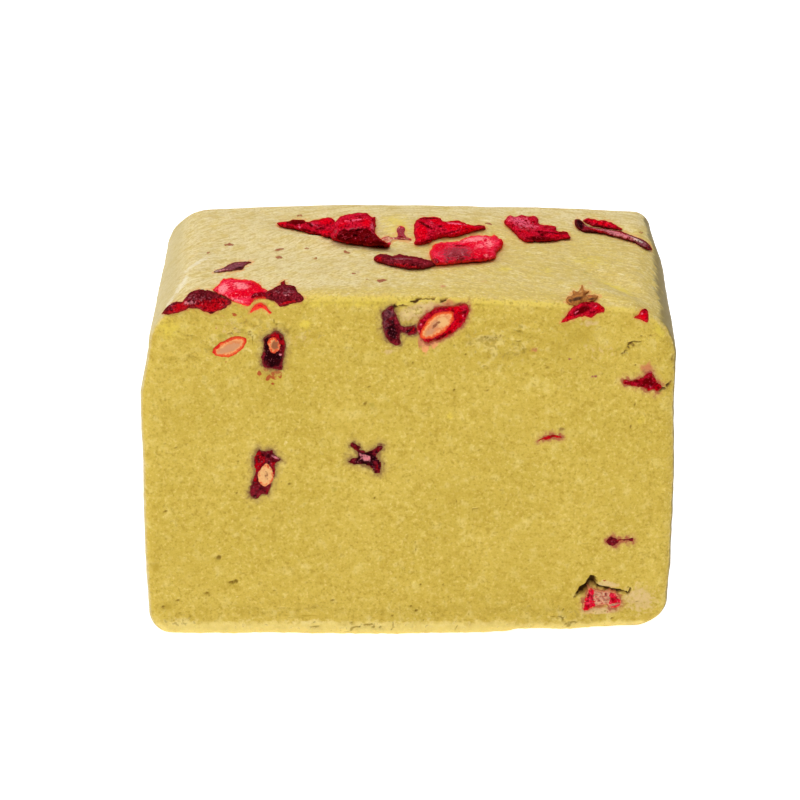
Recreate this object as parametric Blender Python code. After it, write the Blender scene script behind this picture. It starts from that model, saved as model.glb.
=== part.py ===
"""A cut piece of soft protein bar with pieces of dried red fruit, as faceted solids.

The bar is one block of dough, cut across with a knife, so its front (-Y) and back (+Y) are
flat cut faces and its top, sides and base are pressed skin. Fruit lies pressed into the top,
and the knife has cut more of it through at the faces. Every piece of fruit is its own solid
in a pocket of the dough. Sizes are in millimetres and become metres when a mesh is made.
The origin is under the middle of the block, on the surface that it stands on.
"""

import math
from dataclasses import dataclass

import bpy
import numpy as np

MM = 0.001
CLEARANCE = 0.3  # between a piece of fruit and its pocket, or its neighbour

# The block of dough.
WIDTH = 35.0
LENGTH = 22.0  # from cut face to cut face
HEIGHT = 24.4  # at the middle of the front's top edge
BACK_DROP = 0.65  # how much lower the top is at the back
BACK_DROP_POWER = 1.5
DOME_LEFT = 0.75  # how far the top falls away to each side, before the shoulders
DOME_RIGHT = 0.85
DOME_RIGHT_BACK = 0.35
DOME_AT = -3.0  # x of the top's crown
SHOULDER_FRONT_LEFT = 3.4  # radius of each long edge
SHOULDER_FRONT_RIGHT = 3.4
SHOULDER_BACK_LEFT = 3.0
SHOULDER_BACK_RIGHT = 1.4
FOOT_LEFT = 1.5
FOOT_RIGHT = 2.2
CUT_EDGE = 0.6  # radius of the arris round each cut face
SIDE_BULGE = 0.15
FACE_WAVE = 0.06
FACE_WAVE_TURN = (0.55, 0.6)  # radians of the wave in each mm across and up
FACE_WAVE_FROM = 0.9  # share of the half length at which the faces' wave begins
FOOT_LIFT = 0.55  # how far the base's front right corner has sprung up
FOOT_LIFT_FROM = (3.0, 1.0)  # x and y where that begins, towards the right and the front
FOOT_LIFT_FADE = 5.0  # height over which it dies away
TOP_MOVES_FROM = 0.5  # share of the height above which the sides follow the top
SHOULDER_FADE = (0.0, 2.5)  # distances from the side over which the top's dents come in
CUT_FADE = (-0.5, 1.2)  # the same from a cut face
SIDES_MEET = 0.4  # share of the half width over which one side's radii become the other's
FOOT_TO_SHOULDER = 0.3  # the same for the foot's and the shoulder's
TINY = 1e-9  # keeps a division by a distance safe

# Dents and swells of the top: x, y, radius in x, radius in y, height, turn in degrees.
TOP_FORMS = (
    (-4.8, 4.1, 4.4, 2.2, -0.75, -30.0),  # hollow under the two left pieces
    (-5.8, 1.2, 4.8, 1.6, 0.45, -32.0),  # lip in front of it
    (2.6, 1.4, 4.4, 3.2, -0.70, 0.0),  # hollow under the middle pieces
    (1.8, -4.5, 5.0, 1.5, 0.22, 6.0),  # lip in front of it
    (8.9, 5.2, 3.0, 2.4, -0.35, -10.0),
    (14.1, 5.6, 3.8, 1.4, -0.35, -42.0),
    (14.3, -6.4, 3.8, 1.0, -0.40, -52.0),  # slanting crease at the right
    (12.6, -8.6, 3.4, 1.0, 0.20, -40.0),
    (-15.0, -4.5, 1.2, 6.0, 0.20, -8.0),  # raised seam along the left shoulder
    (-10.5, 6.5, 4.0, 2.4, 0.15, 0.0),
)

# Stations of the block's grid: how many across the middle and in each rounded border.
BORDER = (4.0, 1.0, 4.0)
BORDER_STEPS = (4, 2, 4)
MIDDLE_STEPS = (18, 11, 11)

SHARP_ANGLE = 40.0  # degrees; edges sharper than this stay crisp
PIECE_ROUND = 14  # corners round a piece of fruit
PIECE_RINGS = 5  # rings between its two poles
EDGE_FULLNESS = 0.55  # 1 gives a lens with a thin edge, 0 a block with upright sides
LEAST_BEND = 1.0  # degrees; what bends less stays flat
CORNER_ROUNDING = (-10.0, 0.0, 10.0)  # bearings, in degrees, that a rim's radius is averaged over


@dataclass(frozen=True)
class Piece:
    """One lump of fruit, or the hollow that one left: a flat-sided lens with a wavy rim."""

    name: str
    at: tuple  # x, y, z of its middle
    rim: tuple  # corners of its plan: bearing in degrees and distance from the middle
    thick: float  # half thickness
    turn: tuple = (0.0, 0.0, 0.0)  # turns about X, Y and Z in degrees
    bend: tuple = (0.0, 0.0)  # how far its length and its breadth bend down, in degrees
    taper: tuple = (0.0, 0.0)  # how much thicker it is at its +x and +y ends
    gives_way_to: tuple = ()  # neighbours that it makes room for
    finish: str = "red_fruit"


def oval(length, breadth, tail=1.0):
    """Rim of an egg-like plan from its half length, half breadth and the share of its left end."""
    corners = []
    for bearing in range(0, 360, 30):
        angle = math.radians(bearing)
        radius = length * breadth / math.hypot(breadth * math.cos(angle), length * math.sin(angle))
        corners.append((bearing, radius * (tail if 90 < bearing < 270 else 1.0)))
    return tuple(corners)


DARK = "dark_fruit"
PINK = "pink_fruit"
SEED = "fruit_seed"
CALYX = "dry_calyx"

FACE = -LENGTH / 2
REAR = LENGTH / 2
PROUD = 0.02  # how far inside the cut face's highest point the cut fruit ends
FRONT_CUT = FACE + PROUD
REAR_CUT = REAR - PROUD
UP_FRONT = (90.0, 0.0, 0.0)  # turns a plan upright, so that its bearings read as seen from the front


def leaning(degrees):
    """The same upright turn with the plan's right end raised."""
    return (90.0, -degrees, 0.0)


TOP_FRUIT = (
    Piece(
        "fruit_left_long",
        at=(-6.95, 4.9, 23.88),
        rim=((0, 1.9), (35, 1.9), (90, 1.0), (145, 1.7), (165, 2.7), (200, 1.4), (270, 1.1), (325, 2.2)),
        thick=0.75,
        turn=(8.0, 4.0, 0.0),
        bend=(14.0, 20.0),
    ),
    Piece(
        "fruit_left_fold",
        at=(-3.3, 2.8, 24.38),
        rim=((0, 1.6), (60, 1.9), (100, 2.1), (150, 2.1), (205, 2.0), (260, 1.2), (290, 1.3), (322, 2.5)),
        thick=0.95,
        turn=(9.0, 2.0, 0.0),
        bend=(10.0, 34.0),
        taper=(-0.1, 0.1),
        gives_way_to=("fruit_left_long",),
        finish=DARK,
    ),
    Piece(
        "fruit_dark_roll",
        at=(-0.3, -2.3, 23.88),
        rim=oval(2.15, 0.9),
        thick=0.68,
        turn=(6.0, 1.0, -8.0),
        bend=(16.0, 30.0),
        finish=DARK,
    ),
    Piece(
        "fruit_middle_back",
        at=(2.4, 4.6, 24.03),
        rim=(
            (0, 3.0), (25, 1.6), (65, 1.3), (115, 2.4), (160, 1.9),
            (205, 2.1), (232, 3.2), (262, 1.2), (305, 0.9), (340, 1.8),
        ),
        thick=0.60,
        turn=(8.0, 2.0, 0.0),
        bend=(12.0, 16.0),
    ),
    Piece(
        "fruit_middle_bright",
        at=(4.0, -0.4, 24.18),
        rim=(
            (0, 2.4), (30, 2.5), (90, 2.0), (120, 2.0), (148, 2.9),
            (185, 2.0), (240, 2.5), (285, 1.9), (330, 2.2),
        ),
        thick=0.70,
        turn=(10.0, -3.0, 0.0),
        bend=(18.0, 24.0),
        taper=(0.1, 0.1),
        gives_way_to=("fruit_dark_roll", "fruit_middle_back"),
        finish=PINK,
    ),
    Piece(
        "fruit_right_flake",
        at=(8.7, 5.2, 23.78),
        rim=(
            (0, 1.8), (28, 1.7), (70, 1.8), (110, 2.4), (155, 2.2),
            (200, 1.9), (250, 2.3), (300, 1.7), (342, 2.5),
        ),
        thick=0.55,
        turn=(8.0, 5.0, 0.0),
        bend=(14.0, 14.0),
    ),
    Piece(
        "fruit_right_strip",
        at=(14.25, 5.5, 23.38),
        rim=oval(3.65, 0.6),
        thick=0.50,
        turn=(6.0, 8.0, -42.0),
        bend=(26.0, 20.0),
        finish=DARK,
    ),
    Piece(
        "fruit_right_flap",
        at=(13.75, 7.2, 23.53),
        rim=oval(1.35, 0.55),
        thick=0.45,
        turn=(20.0, 8.0, -30.0),
        bend=(20.0, 20.0),
        gives_way_to=("fruit_right_strip",),
    ),
    Piece(
        "fruit_buried_dark",
        at=(-11.9, -3.6, 23.68),
        rim=oval(1.6, 0.55, 0.9),
        thick=0.40,
        turn=(4.0, -6.0, 36.0),
        finish=DARK,
    ),
    Piece(
        "fruit_buried_small",
        at=(-0.7, 3.9, 23.53),
        rim=((0, 0.9), (60, 1.5), (110, 1.2), (180, 1.0), (270, 0.7)),
        thick=0.40,
        turn=(6.0, 0.0, 0.0),
        gives_way_to=("fruit_left_fold", "fruit_middle_back"),
        finish=PINK,
    ),
)

CORNER_FRUIT = (
    Piece(
        "fruit_corner_dark",
        at=(-13.9, -10.2, 23.58),
        rim=((0, 2.3), (40, 1.4), (85, 1.2), (130, 1.1), (180, 2.4), (230, 1.1), (300, 1.1)),
        thick=0.62,
        turn=(20.0, -10.0, 0.0),
        bend=(14.0, 34.0),
        finish=DARK,
    ),
    Piece(
        "fruit_corner_pink",
        at=(-11.25, -9.5, 24.18),
        rim=((0, 1.7), (50, 1.7), (95, 1.7), (140, 1.6), (180, 1.7), (230, 1.5), (300, 1.9)),
        thick=0.50,
        turn=(24.0, -2.0, 0.0),
        bend=(20.0, 36.0),
        gives_way_to=("fruit_corner_dark",),
        finish=PINK,
    ),
    Piece(
        "fruit_corner_berry",
        at=(-8.2, -10.0, 24.13),
        rim=((0, 1.5), (50, 1.2), (90, 1.0), (150, 1.5), (190, 1.7), (260, 0.9), (320, 1.2)),
        thick=0.72,
        turn=(24.0, 2.0, 0.0),
        bend=(16.0, 26.0),
        gives_way_to=("fruit_corner_pink",),
        finish=DARK,
    ),
    Piece(
        "fruit_corner_arch",
        at=(-9.75, FRONT_CUT, 23.65),
        rim=((0, 0.6), (60, 0.5), (120, 0.5), (180, 0.6), (215, 0.95), (270, 0.1), (325, 0.95)),
        thick=0.40,
        turn=UP_FRONT,
        gives_way_to=("fruit_corner_pink", "fruit_corner_berry"),
    ),
)

# Fruit that the knife cut through, seen from the front.
CUT_FRUIT = (
    Piece(
        "seed_left",
        at=(-11.83, FRONT_CUT, 20.88),
        rim=oval(1.27, 0.68),
        thick=0.60,
        turn=leaning(20.0),
        finish=SEED,
    ),
    Piece(
        "fruit_cut_upper_left",
        at=(-8.93, FRONT_CUT, 20.66),
        rim=(
            (0, 0.85), (36, 1.0), (65, 1.35), (84, 1.45), (104, 1.2), (133, 1.05),
            (176, 0.75), (215, 1.0), (239, 1.45), (268, 1.4), (292, 1.45), (313, 1.05),
        ),
        thick=1.0,
        turn=UP_FRONT,
        finish=DARK,
    ),
    Piece(
        "fruit_cut_centre",
        at=(2.15, FRONT_CUT, 22.4),
        rim=(
            (4, 1.45), (32, 2.2), (44, 2.1), (64, 1.45), (90, 1.3), (120, 1.3),
            (158, 1.5), (190, 1.75), (230, 1.85), (250, 1.35), (284, 1.0), (333, 1.1),
        ),
        thick=1.0,
        turn=UP_FRONT,
    ),
    Piece(
        "fruit_cut_skin",
        at=(-0.95, FRONT_CUT, 22.23),
        rim=((0, 1.1), (60, 0.95), (108, 1.6), (180, 0.85), (235, 1.2), (282, 1.35), (330, 0.9)),
        thick=0.9,
        turn=UP_FRONT,
        gives_way_to=("fruit_cut_centre",),
        finish=DARK,
    ),
    Piece(
        "fruit_cut_edge",
        at=(11.4, FRONT_CUT, 23.25),
        rim=((0, 1.4), (50, 0.85), (90, 0.65), (150, 0.95), (206, 1.75), (245, 0.6), (300, 0.55)),
        thick=0.9,
        turn=UP_FRONT,
    ),
    Piece(
        "calyx",
        at=(11.5, -9.9, 24.03),
        rim=((0, 1.0), (25, 1.4), (55, 0.8), (88, 1.7), (120, 0.8), (160, 1.3), (270, 0.8)),
        thick=0.35,
        turn=(16.0, 4.0, 0.0),
        bend=(10.0, 14.0),
        gives_way_to=("fruit_cut_edge",),
        finish=CALYX,
    ),
    Piece(
        "fruit_chip_right",
        at=(15.15, FRONT_CUT, 23.13),
        rim=((10, 0.5), (55, 0.7), (110, 0.35), (160, 0.4), (205, 0.6), (300, 0.45)),
        thick=0.60,
        turn=UP_FRONT,
    ),
    Piece(
        "fruit_cut_right",
        at=(15.6, FRONT_CUT, 18.43),
        rim=(
            (0, 0.75), (60, 0.8), (90, 1.0), (120, 0.7),
            (180, 1.6), (230, 0.7), (300, 0.95), (330, 1.05),
        ),
        thick=0.9,
        turn=UP_FRONT,
    ),
    Piece(
        "fruit_cut_lower_left",
        at=(-9.5, FRONT_CUT, 11.82),
        rim=(
            (7, 0.7), (41, 1.5), (73, 1.85), (103, 1.95), (123, 1.55), (141, 1.15),
            (174, 0.85), (215, 1.2), (240, 2.1), (258, 1.75), (277, 1.6), (311, 0.75),
        ),
        thick=1.0,
        turn=UP_FRONT,
        finish=DARK,
    ),
    Piece(
        "fruit_cut_middle",
        at=(-2.83, FRONT_CUT, 13.03),
        rim=(
            (0, 0.6), (42, 1.25), (90, 0.5), (136, 1.3), (165, 0.75),
            (191, 1.2), (240, 0.6), (280, 0.5), (320, 1.25),
        ),
        thick=0.8,
        turn=UP_FRONT,
        finish=DARK,
    ),
    Piece(
        "fruit_cut_sliver",
        at=(9.4, FRONT_CUT, 14.43),
        rim=oval(0.95, 0.27),
        thick=0.60,
        turn=leaning(15.0),
    ),
    Piece(
        "fruit_cut_drop",
        at=(13.95, FRONT_CUT, 7.0),
        rim=((0, 1.2), (25, 0.45), (90, 0.4), (180, 0.8), (270, 0.42), (325, 0.35)),
        thick=0.60,
        turn=UP_FRONT,
        finish=DARK,
    ),
    Piece(
        "fruit_cut_low",
        at=(13.05, FRONT_CUT + 0.3, 2.66),
        rim=(
            (21, 1.2), (59, 0.95), (102, 0.9), (136, 1.2), (173, 1.15),
            (208, 1.55), (240, 0.75), (303, 0.6), (334, 1.35), (351, 1.35),
        ),
        thick=0.9,
        turn=UP_FRONT,
        finish=PINK,
    ),
)

REAR_FRUIT = (
    Piece(
        "fruit_rear_high",
        at=(8.4, REAR_CUT, 18.58),
        rim=((0, 1.6), (45, 1.0), (90, 0.9), (150, 1.3), (200, 1.6), (270, 0.8), (320, 1.3)),
        thick=1.0,
        turn=UP_FRONT,
    ),
    Piece(
        "fruit_rear_left",
        at=(-10.6, REAR_CUT, 15.68),
        rim=((0, 0.9), (60, 1.2), (120, 0.8), (180, 1.1), (235, 0.8), (300, 1.2)),
        thick=0.9,
        turn=UP_FRONT,
        finish=DARK,
    ),
    Piece(
        "fruit_rear_middle",
        at=(-1.6, REAR_CUT, 9.48),
        rim=((0, 1.4), (50, 0.7), (110, 0.6), (180, 1.2), (250, 0.8), (310, 0.7)),
        thick=0.8,
        turn=UP_FRONT,
    ),
    Piece(
        "fruit_rear_low",
        at=(11.4, REAR_CUT, 5.48),
        rim=oval(1.0, 0.55),
        thick=0.70,
        turn=leaning(-14.0),
    ),
)

ALL_FRUIT = TOP_FRUIT + CORNER_FRUIT + CUT_FRUIT + REAR_FRUIT

# Tears that the knife left in the front face, as the hollows that they open.
TEARS = (
    Piece(
        "tear_over_middle",
        at=(0.55, FACE, 23.58),
        rim=oval(2.7, 0.16),
        thick=0.9,
        turn=leaning(11.0),
    ),
    Piece(
        "tear_upper_right",
        at=(14.3, FACE, 20.93),
        rim=oval(0.85, 0.14),
        thick=0.8,
        turn=leaning(34.0),
    ),
    Piece(
        "tear_low_crack",
        at=(13.75, FACE, 3.45),
        rim=oval(1.3, 0.17),
        thick=1.2,
        turn=leaning(-6.0),
    ),
    Piece(
        "tear_low_hollow",
        at=(11.85, FACE, 3.45),
        rim=((0, 0.6), (50, 0.9), (100, 0.5), (190, 1.1), (300, 0.5)),
        thick=1.3,
        turn=UP_FRONT,
    ),
    Piece(
        "tear_edge_split",
        at=(17.0, FACE, 18.18),
        rim=oval(0.75, 0.12),
        thick=1.1,
        turn=leaning(18.0),
    ),
)

# Colour, linear, and roughness of each finish.
FINISHES = {
    "dough": ((0.66, 0.49, 0.13, 1.0), 0.60),
    "red_fruit": ((0.40, 0.008, 0.02, 1.0), 0.35),
    DARK: ((0.10, 0.004, 0.01, 1.0), 0.40),
    PINK: ((0.75, 0.06, 0.10, 1.0), 0.30),
    SEED: ((0.83, 0.33, 0.12, 1.0), 0.50),
    CALYX: ((0.35, 0.12, 0.02, 1.0), 0.70),
}


def clear_scene():
    for thing in list(bpy.data.objects):
        bpy.data.objects.remove(thing)


def material(name, colour, roughness):
    made = bpy.data.materials.new(name)
    made.use_nodes = True
    shader = made.node_tree.nodes["Principled BSDF"]
    shader.inputs["Base Color"].default_value = colour
    shader.inputs["Roughness"].default_value = roughness
    shader.inputs["Metallic"].default_value = 0.0
    return made


def mesh_object(name, points, faces, finish=None):
    """A mesh object from points in millimetres, smooth but for its sharp edges."""
    mesh = bpy.data.meshes.new(name)
    mesh.from_pydata((np.asarray(points) * MM).tolist(), [], [list(map(int, f)) for f in faces])
    mesh.validate()
    mesh.shade_smooth()
    mesh.set_sharp_from_angle(angle=math.radians(SHARP_ANGLE))
    if finish:
        mesh.materials.append(finish)
    made = bpy.data.objects.new(name, mesh)
    bpy.context.scene.collection.objects.link(made)
    return made


def smooth_step(value, low, high):
    share = np.clip((value - low) / (high - low), 0.0, 1.0)
    return share * share * (3.0 - 2.0 * share)


def stations(half, border, border_steps, middle_steps):
    """Places from -1 to 1, close together in the rounded borders and even in the middle."""
    inner = 1.0 - border / half
    left = np.linspace(-1.0, -inner, border_steps + 1)
    middle = np.linspace(-inner, inner, middle_steps + 1)[1:-1]
    return np.concatenate([left, middle, -left[::-1]])


def box_skin(across, along, up):
    """The six sides of a cube as one closed grid of quads, with corners shared between sides."""
    counts = (len(across), len(along), len(up))
    index = np.indices(counts)
    last = np.array(counts).reshape(3, 1, 1, 1) - 1
    outside = ((index == 0) | (index == last)).any(axis=0)
    number = np.full(counts, -1)
    number[outside] = np.arange(outside.sum())
    places = [values[i][outside] for values, i in zip((across, along, up), index)]
    quads = []
    for axis in range(3):
        for side, flip in ((0, axis != 1), (-1, axis == 1)):
            sheet = np.take(number, side, axis=axis)
            loop = (sheet[:-1, :-1], sheet[1:, :-1], sheet[1:, 1:], sheet[:-1, 1:])
            corners = loop[::-1] if flip else loop
            quads.append(np.stack([c.ravel() for c in corners], axis=1))
    return np.stack(places, axis=1), np.concatenate(quads)


def corner_radius(across, along, up):
    """Radius of the nearest long edge: foot below, shoulder above, changing from front to back."""
    right = smooth_step(across, -SIDES_MEET, SIDES_MEET)
    back = (along + 1.0) / 2.0
    left_shoulder = SHOULDER_FRONT_LEFT + (SHOULDER_BACK_LEFT - SHOULDER_FRONT_LEFT) * back
    right_shoulder = SHOULDER_FRONT_RIGHT + (SHOULDER_BACK_RIGHT - SHOULDER_FRONT_RIGHT) * back
    shoulder = left_shoulder + (right_shoulder - left_shoulder) * right
    foot = FOOT_LEFT + (FOOT_RIGHT - FOOT_LEFT) * right
    return foot + (shoulder - foot) * smooth_step(up, -FOOT_TO_SHOULDER, FOOT_TO_SHOULDER)


def outline(across, up, radius):
    """The section's rim: a rectangle whose corner is an arc of the given radius."""
    x = across * WIDTH / 2
    z = up * HEIGHT / 2
    inner_x = np.clip(x, radius - WIDTH / 2, WIDTH / 2 - radius)
    inner_z = np.clip(z, radius - HEIGHT / 2, HEIGHT / 2 - radius)
    away = np.maximum(np.hypot(x - inner_x, z - inner_z), TINY)
    return inner_x + (x - inner_x) * radius / away, inner_z + (z - inner_z) * radius / away


def top_forms(x, y):
    """Sum of the top's dents and swells, each one a turned bell curve."""
    total = np.zeros_like(x)
    for at_x, at_y, wide, deep, height, turn in TOP_FORMS:
        angle = math.radians(turn)
        along = (x - at_x) * math.cos(angle) + (y - at_y) * math.sin(angle)
        aside = (y - at_y) * math.cos(angle) - (x - at_x) * math.sin(angle)
        total += height * np.exp(-((along / wide) ** 2) - (aside / deep) ** 2)
    return total


def top_height(x, y):
    """Height of the top over the base, away from its rounded edges."""
    side = np.abs(x - DOME_AT) / (WIDTH / 2)
    back = (y - FACE) / LENGTH
    right_fall = DOME_RIGHT + (DOME_RIGHT_BACK - DOME_RIGHT) * back
    fall = np.where(x < DOME_AT, DOME_LEFT, right_fall)
    border = smooth_step(WIDTH / 2 - np.abs(x), *SHOULDER_FADE)
    border *= smooth_step(LENGTH / 2 - np.abs(y), *CUT_FADE)
    return HEIGHT - fall * side**2 - BACK_DROP * back**BACK_DROP_POWER + top_forms(x, y) * border


def dough_points(places):
    """Carries the cube's skin to the block's.

    The cube's square section goes to the rounded outline in rings about the middle. Near a cut
    face the rings draw in along a quarter circle, which rounds the arris. Then the top, sides
    and faces get their waves.
    """
    across, along, up = places.T
    ring = np.maximum(np.abs(across), np.abs(up))
    safe = np.maximum(ring, TINY)
    radius = corner_radius(across / safe, along, up / safe)
    rim_x, rim_z = outline(across / safe, up / safe, radius)
    inward = (1.0 - ring) * HEIGHT / 2
    y = along * LENGTH / 2
    core_y = np.clip(y, CUT_EDGE - LENGTH / 2, LENGTH / 2 - CUT_EDGE)
    core_in = np.maximum(inward, CUT_EDGE)
    away = np.hypot(y - core_y, inward - core_in)
    rounded = away > TINY
    reach = CUT_EDGE / np.maximum(away, TINY)
    y = np.where(rounded, core_y + (y - core_y) * reach, y)
    inward = np.where(rounded, core_in + (inward - core_in) * reach, inward)
    share = 1.0 - inward / (HEIGHT / 2)
    x = rim_x * share
    z = HEIGHT / 2 + rim_z * share
    lift = smooth_step(z, HEIGHT * TOP_MOVES_FROM, HEIGHT)
    z = z + (top_height(x, y) - HEIGHT) * lift
    sprung = smooth_step(x, FOOT_LIFT_FROM[0], WIDTH / 2) * smooth_step(-y, FOOT_LIFT_FROM[1], LENGTH / 2)
    z = z + FOOT_LIFT * sprung * (1.0 - smooth_step(z, 0.0, FOOT_LIFT_FADE))
    middle = np.sin(np.clip(z / HEIGHT, 0.0, 1.0) * math.pi)
    x = x * (1.0 + SIDE_BULGE * (middle - 1.0) / (WIDTH / 2))
    face = smooth_step(np.abs(along), FACE_WAVE_FROM, 1.0) * np.sign(along)
    wave = np.sin(x * FACE_WAVE_TURN[0]) * np.cos(z * FACE_WAVE_TURN[1])
    y = y - face * FACE_WAVE * (1.0 + wave)
    return np.stack([x, y, z], axis=1)


def turn_matrix(turn):
    """Turns about X, then Y, then Z."""
    rx, ry, rz = np.radians(turn)
    about_x = np.array([[1, 0, 0], [0, np.cos(rx), -np.sin(rx)], [0, np.sin(rx), np.cos(rx)]])
    about_y = np.array([[np.cos(ry), 0, np.sin(ry)], [0, 1, 0], [-np.sin(ry), 0, np.cos(ry)]])
    about_z = np.array([[np.cos(rz), -np.sin(rz), 0], [np.sin(rz), np.cos(rz), 0], [0, 0, 1]])
    return about_z @ about_y @ about_x


def bent(flat, rise, half, degrees):
    """Wraps a length round an arc: the far ends drop and the middle stays."""
    if abs(degrees) < LEAST_BEND:
        return flat, rise
    radius = 2.0 * half / math.radians(degrees)
    angle = flat / radius
    return (radius + rise) * np.sin(angle), (radius + rise) * np.cos(angle) - radius


def rim_radius(piece, around):
    """Distance of the rim from the piece's middle, with its corners a little rounded."""
    bearings, radii = zip(*sorted(piece.rim))
    spread = [np.interp(np.degrees(around) + d, bearings, radii, period=360.0) for d in CORNER_ROUNDING]
    return np.mean(spread, axis=0)


def piece_points(piece, around, from_middle, grow=0.0):
    """A point of the piece for each angle round it and each angle from its rim to its poles.

    The plan's radius is the rim's. The section is a lens with a full edge, thicker towards one
    end, and the length and the breadth each bend about the middle.
    """
    radius = rim_radius(piece, around) + grow
    plan = np.abs(np.cos(from_middle)) ** EDGE_FULLNESS
    x = radius * plan * np.cos(around)
    y = radius * plan * np.sin(around)
    half = max(r for _, r in piece.rim)
    swell = 1.0 + piece.taper[0] * x / half + piece.taper[1] * y / half
    z = (piece.thick + grow) * swell * np.sin(from_middle)
    x, z = bent(x, z, half, piece.bend[0])
    y, z = bent(y, z, half, piece.bend[1])
    points = np.stack([x, y, z], axis=1) @ turn_matrix(piece.turn).T
    return points + np.array(piece.at)


def ball_grid(around_steps, rings):
    """Angles and faces of a closed ball: a pole, rings of quads and another pole."""
    around = np.arange(around_steps) * 2.0 * math.pi / around_steps
    heights = np.linspace(-math.pi / 2, math.pi / 2, rings + 2)[1:-1]
    turns = np.concatenate([[0.0], np.tile(around, rings), [0.0]])
    tilts = np.concatenate([[-math.pi / 2], np.repeat(heights, around_steps), [math.pi / 2]])
    first = 1 + np.arange(rings * around_steps).reshape(rings, around_steps)
    after = np.roll(first, -1, axis=1)
    last = rings * around_steps + 1
    faces = [(0, b, a) for a, b in zip(first[0], after[0])]
    faces += [(last, a, b) for a, b in zip(first[-1], after[-1])]
    for low in range(rings - 1):
        loop = (first[low], after[low], after[low + 1], first[low + 1])
        faces += list(zip(*loop))
    return turns, tilts, faces


def fruit_object(piece, finish):
    """The piece itself, with what the knife would have cut off laid flat on the cut."""
    turns, tilts, faces = ball_grid(PIECE_ROUND, PIECE_RINGS)
    points = piece_points(piece, turns, tilts)
    points[:, 1] = np.clip(points[:, 1], FRONT_CUT, REAR_CUT)
    return mesh_object(piece.name, points, faces, finish)


def room_object(piece, name):
    """A body a little larger than the piece, to cut its pocket."""
    turns, tilts, faces = ball_grid(PIECE_ROUND, PIECE_RINGS)
    return mesh_object(name, piece_points(piece, turns, tilts, CLEARANCE), faces)


def tear_object(piece):
    turns, tilts, faces = ball_grid(PIECE_ROUND, PIECE_RINGS)
    return mesh_object(f"cutter_{piece.name}", piece_points(piece, turns, tilts), faces)


def as_cutters(name, objects):
    """Moves objects into a collection that only cuts."""
    group = bpy.data.collections.new(name)
    bpy.context.scene.collection.children.link(group)
    for thing in objects:
        bpy.context.scene.collection.objects.unlink(thing)
        group.objects.link(thing)
        thing.hide_render = True
        thing.display_type = "WIRE"
    return group


def cut(body, group, name):
    modifier = body.modifiers.new(name, "BOOLEAN")
    modifier.operation = "DIFFERENCE"
    modifier.operand_type = "COLLECTION"
    modifier.collection = group
    modifier.solver = "EXACT"


def build_dough(finish):
    halves = (WIDTH / 2, LENGTH / 2, HEIGHT / 2)
    lines = [stations(*sizes) for sizes in zip(halves, BORDER, BORDER_STEPS, MIDDLE_STEPS)]
    places, quads = box_skin(*lines)
    dough = mesh_object("dough", dough_points(places), quads, finish)
    pockets = [room_object(piece, f"cutter_{piece.name}") for piece in ALL_FRUIT]
    tears = [tear_object(piece) for piece in TEARS]
    cut(dough, as_cutters("pockets", pockets + tears), "Pockets")


def build_fruit(finishes):
    by_name = {piece.name: piece for piece in ALL_FRUIT}
    for piece in ALL_FRUIT:
        made = fruit_object(piece, finishes[piece.finish])
        if piece.gives_way_to:
            rooms = [room_object(by_name[n], f"room_{n}_in_{piece.name}") for n in piece.gives_way_to]
            cut(made, as_cutters(f"room_in_{piece.name}", rooms), "Neighbours")


def main():
    clear_scene()
    finishes = {name: material(name, *look) for name, look in FINISHES.items()}
    build_dough(finishes["dough"])
    build_fruit(finishes)


main()
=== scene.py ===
"""A cut piece of soft protein bar with dried red fruit, finished for its picture.

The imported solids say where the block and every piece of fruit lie. Here the block gets its
crumb, its tears and its pressed skin, the fruit its folds, and each surface its colour.
Sizes are in millimetres and become metres when a mesh is made.
"""

import math
from dataclasses import dataclass, field

import bpy
import numpy as np
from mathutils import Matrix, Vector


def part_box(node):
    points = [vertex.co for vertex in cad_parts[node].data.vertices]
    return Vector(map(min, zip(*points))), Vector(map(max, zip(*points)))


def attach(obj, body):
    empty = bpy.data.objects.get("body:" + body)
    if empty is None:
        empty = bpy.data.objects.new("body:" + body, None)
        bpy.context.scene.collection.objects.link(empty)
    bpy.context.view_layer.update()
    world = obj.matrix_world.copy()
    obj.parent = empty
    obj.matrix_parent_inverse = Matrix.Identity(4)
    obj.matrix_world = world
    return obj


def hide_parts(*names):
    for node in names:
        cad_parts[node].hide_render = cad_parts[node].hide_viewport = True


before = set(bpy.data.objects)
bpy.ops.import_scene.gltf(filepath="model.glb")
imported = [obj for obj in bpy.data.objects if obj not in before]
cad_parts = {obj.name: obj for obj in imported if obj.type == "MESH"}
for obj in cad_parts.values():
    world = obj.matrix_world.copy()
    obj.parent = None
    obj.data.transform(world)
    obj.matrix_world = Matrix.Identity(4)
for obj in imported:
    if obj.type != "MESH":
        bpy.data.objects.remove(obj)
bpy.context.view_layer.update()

MM = 0.001


def node_box(name):
    """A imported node's lowest and highest corner in millimetres."""
    low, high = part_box(name)
    return np.array(low) / MM, np.array(high) / MM


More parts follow.
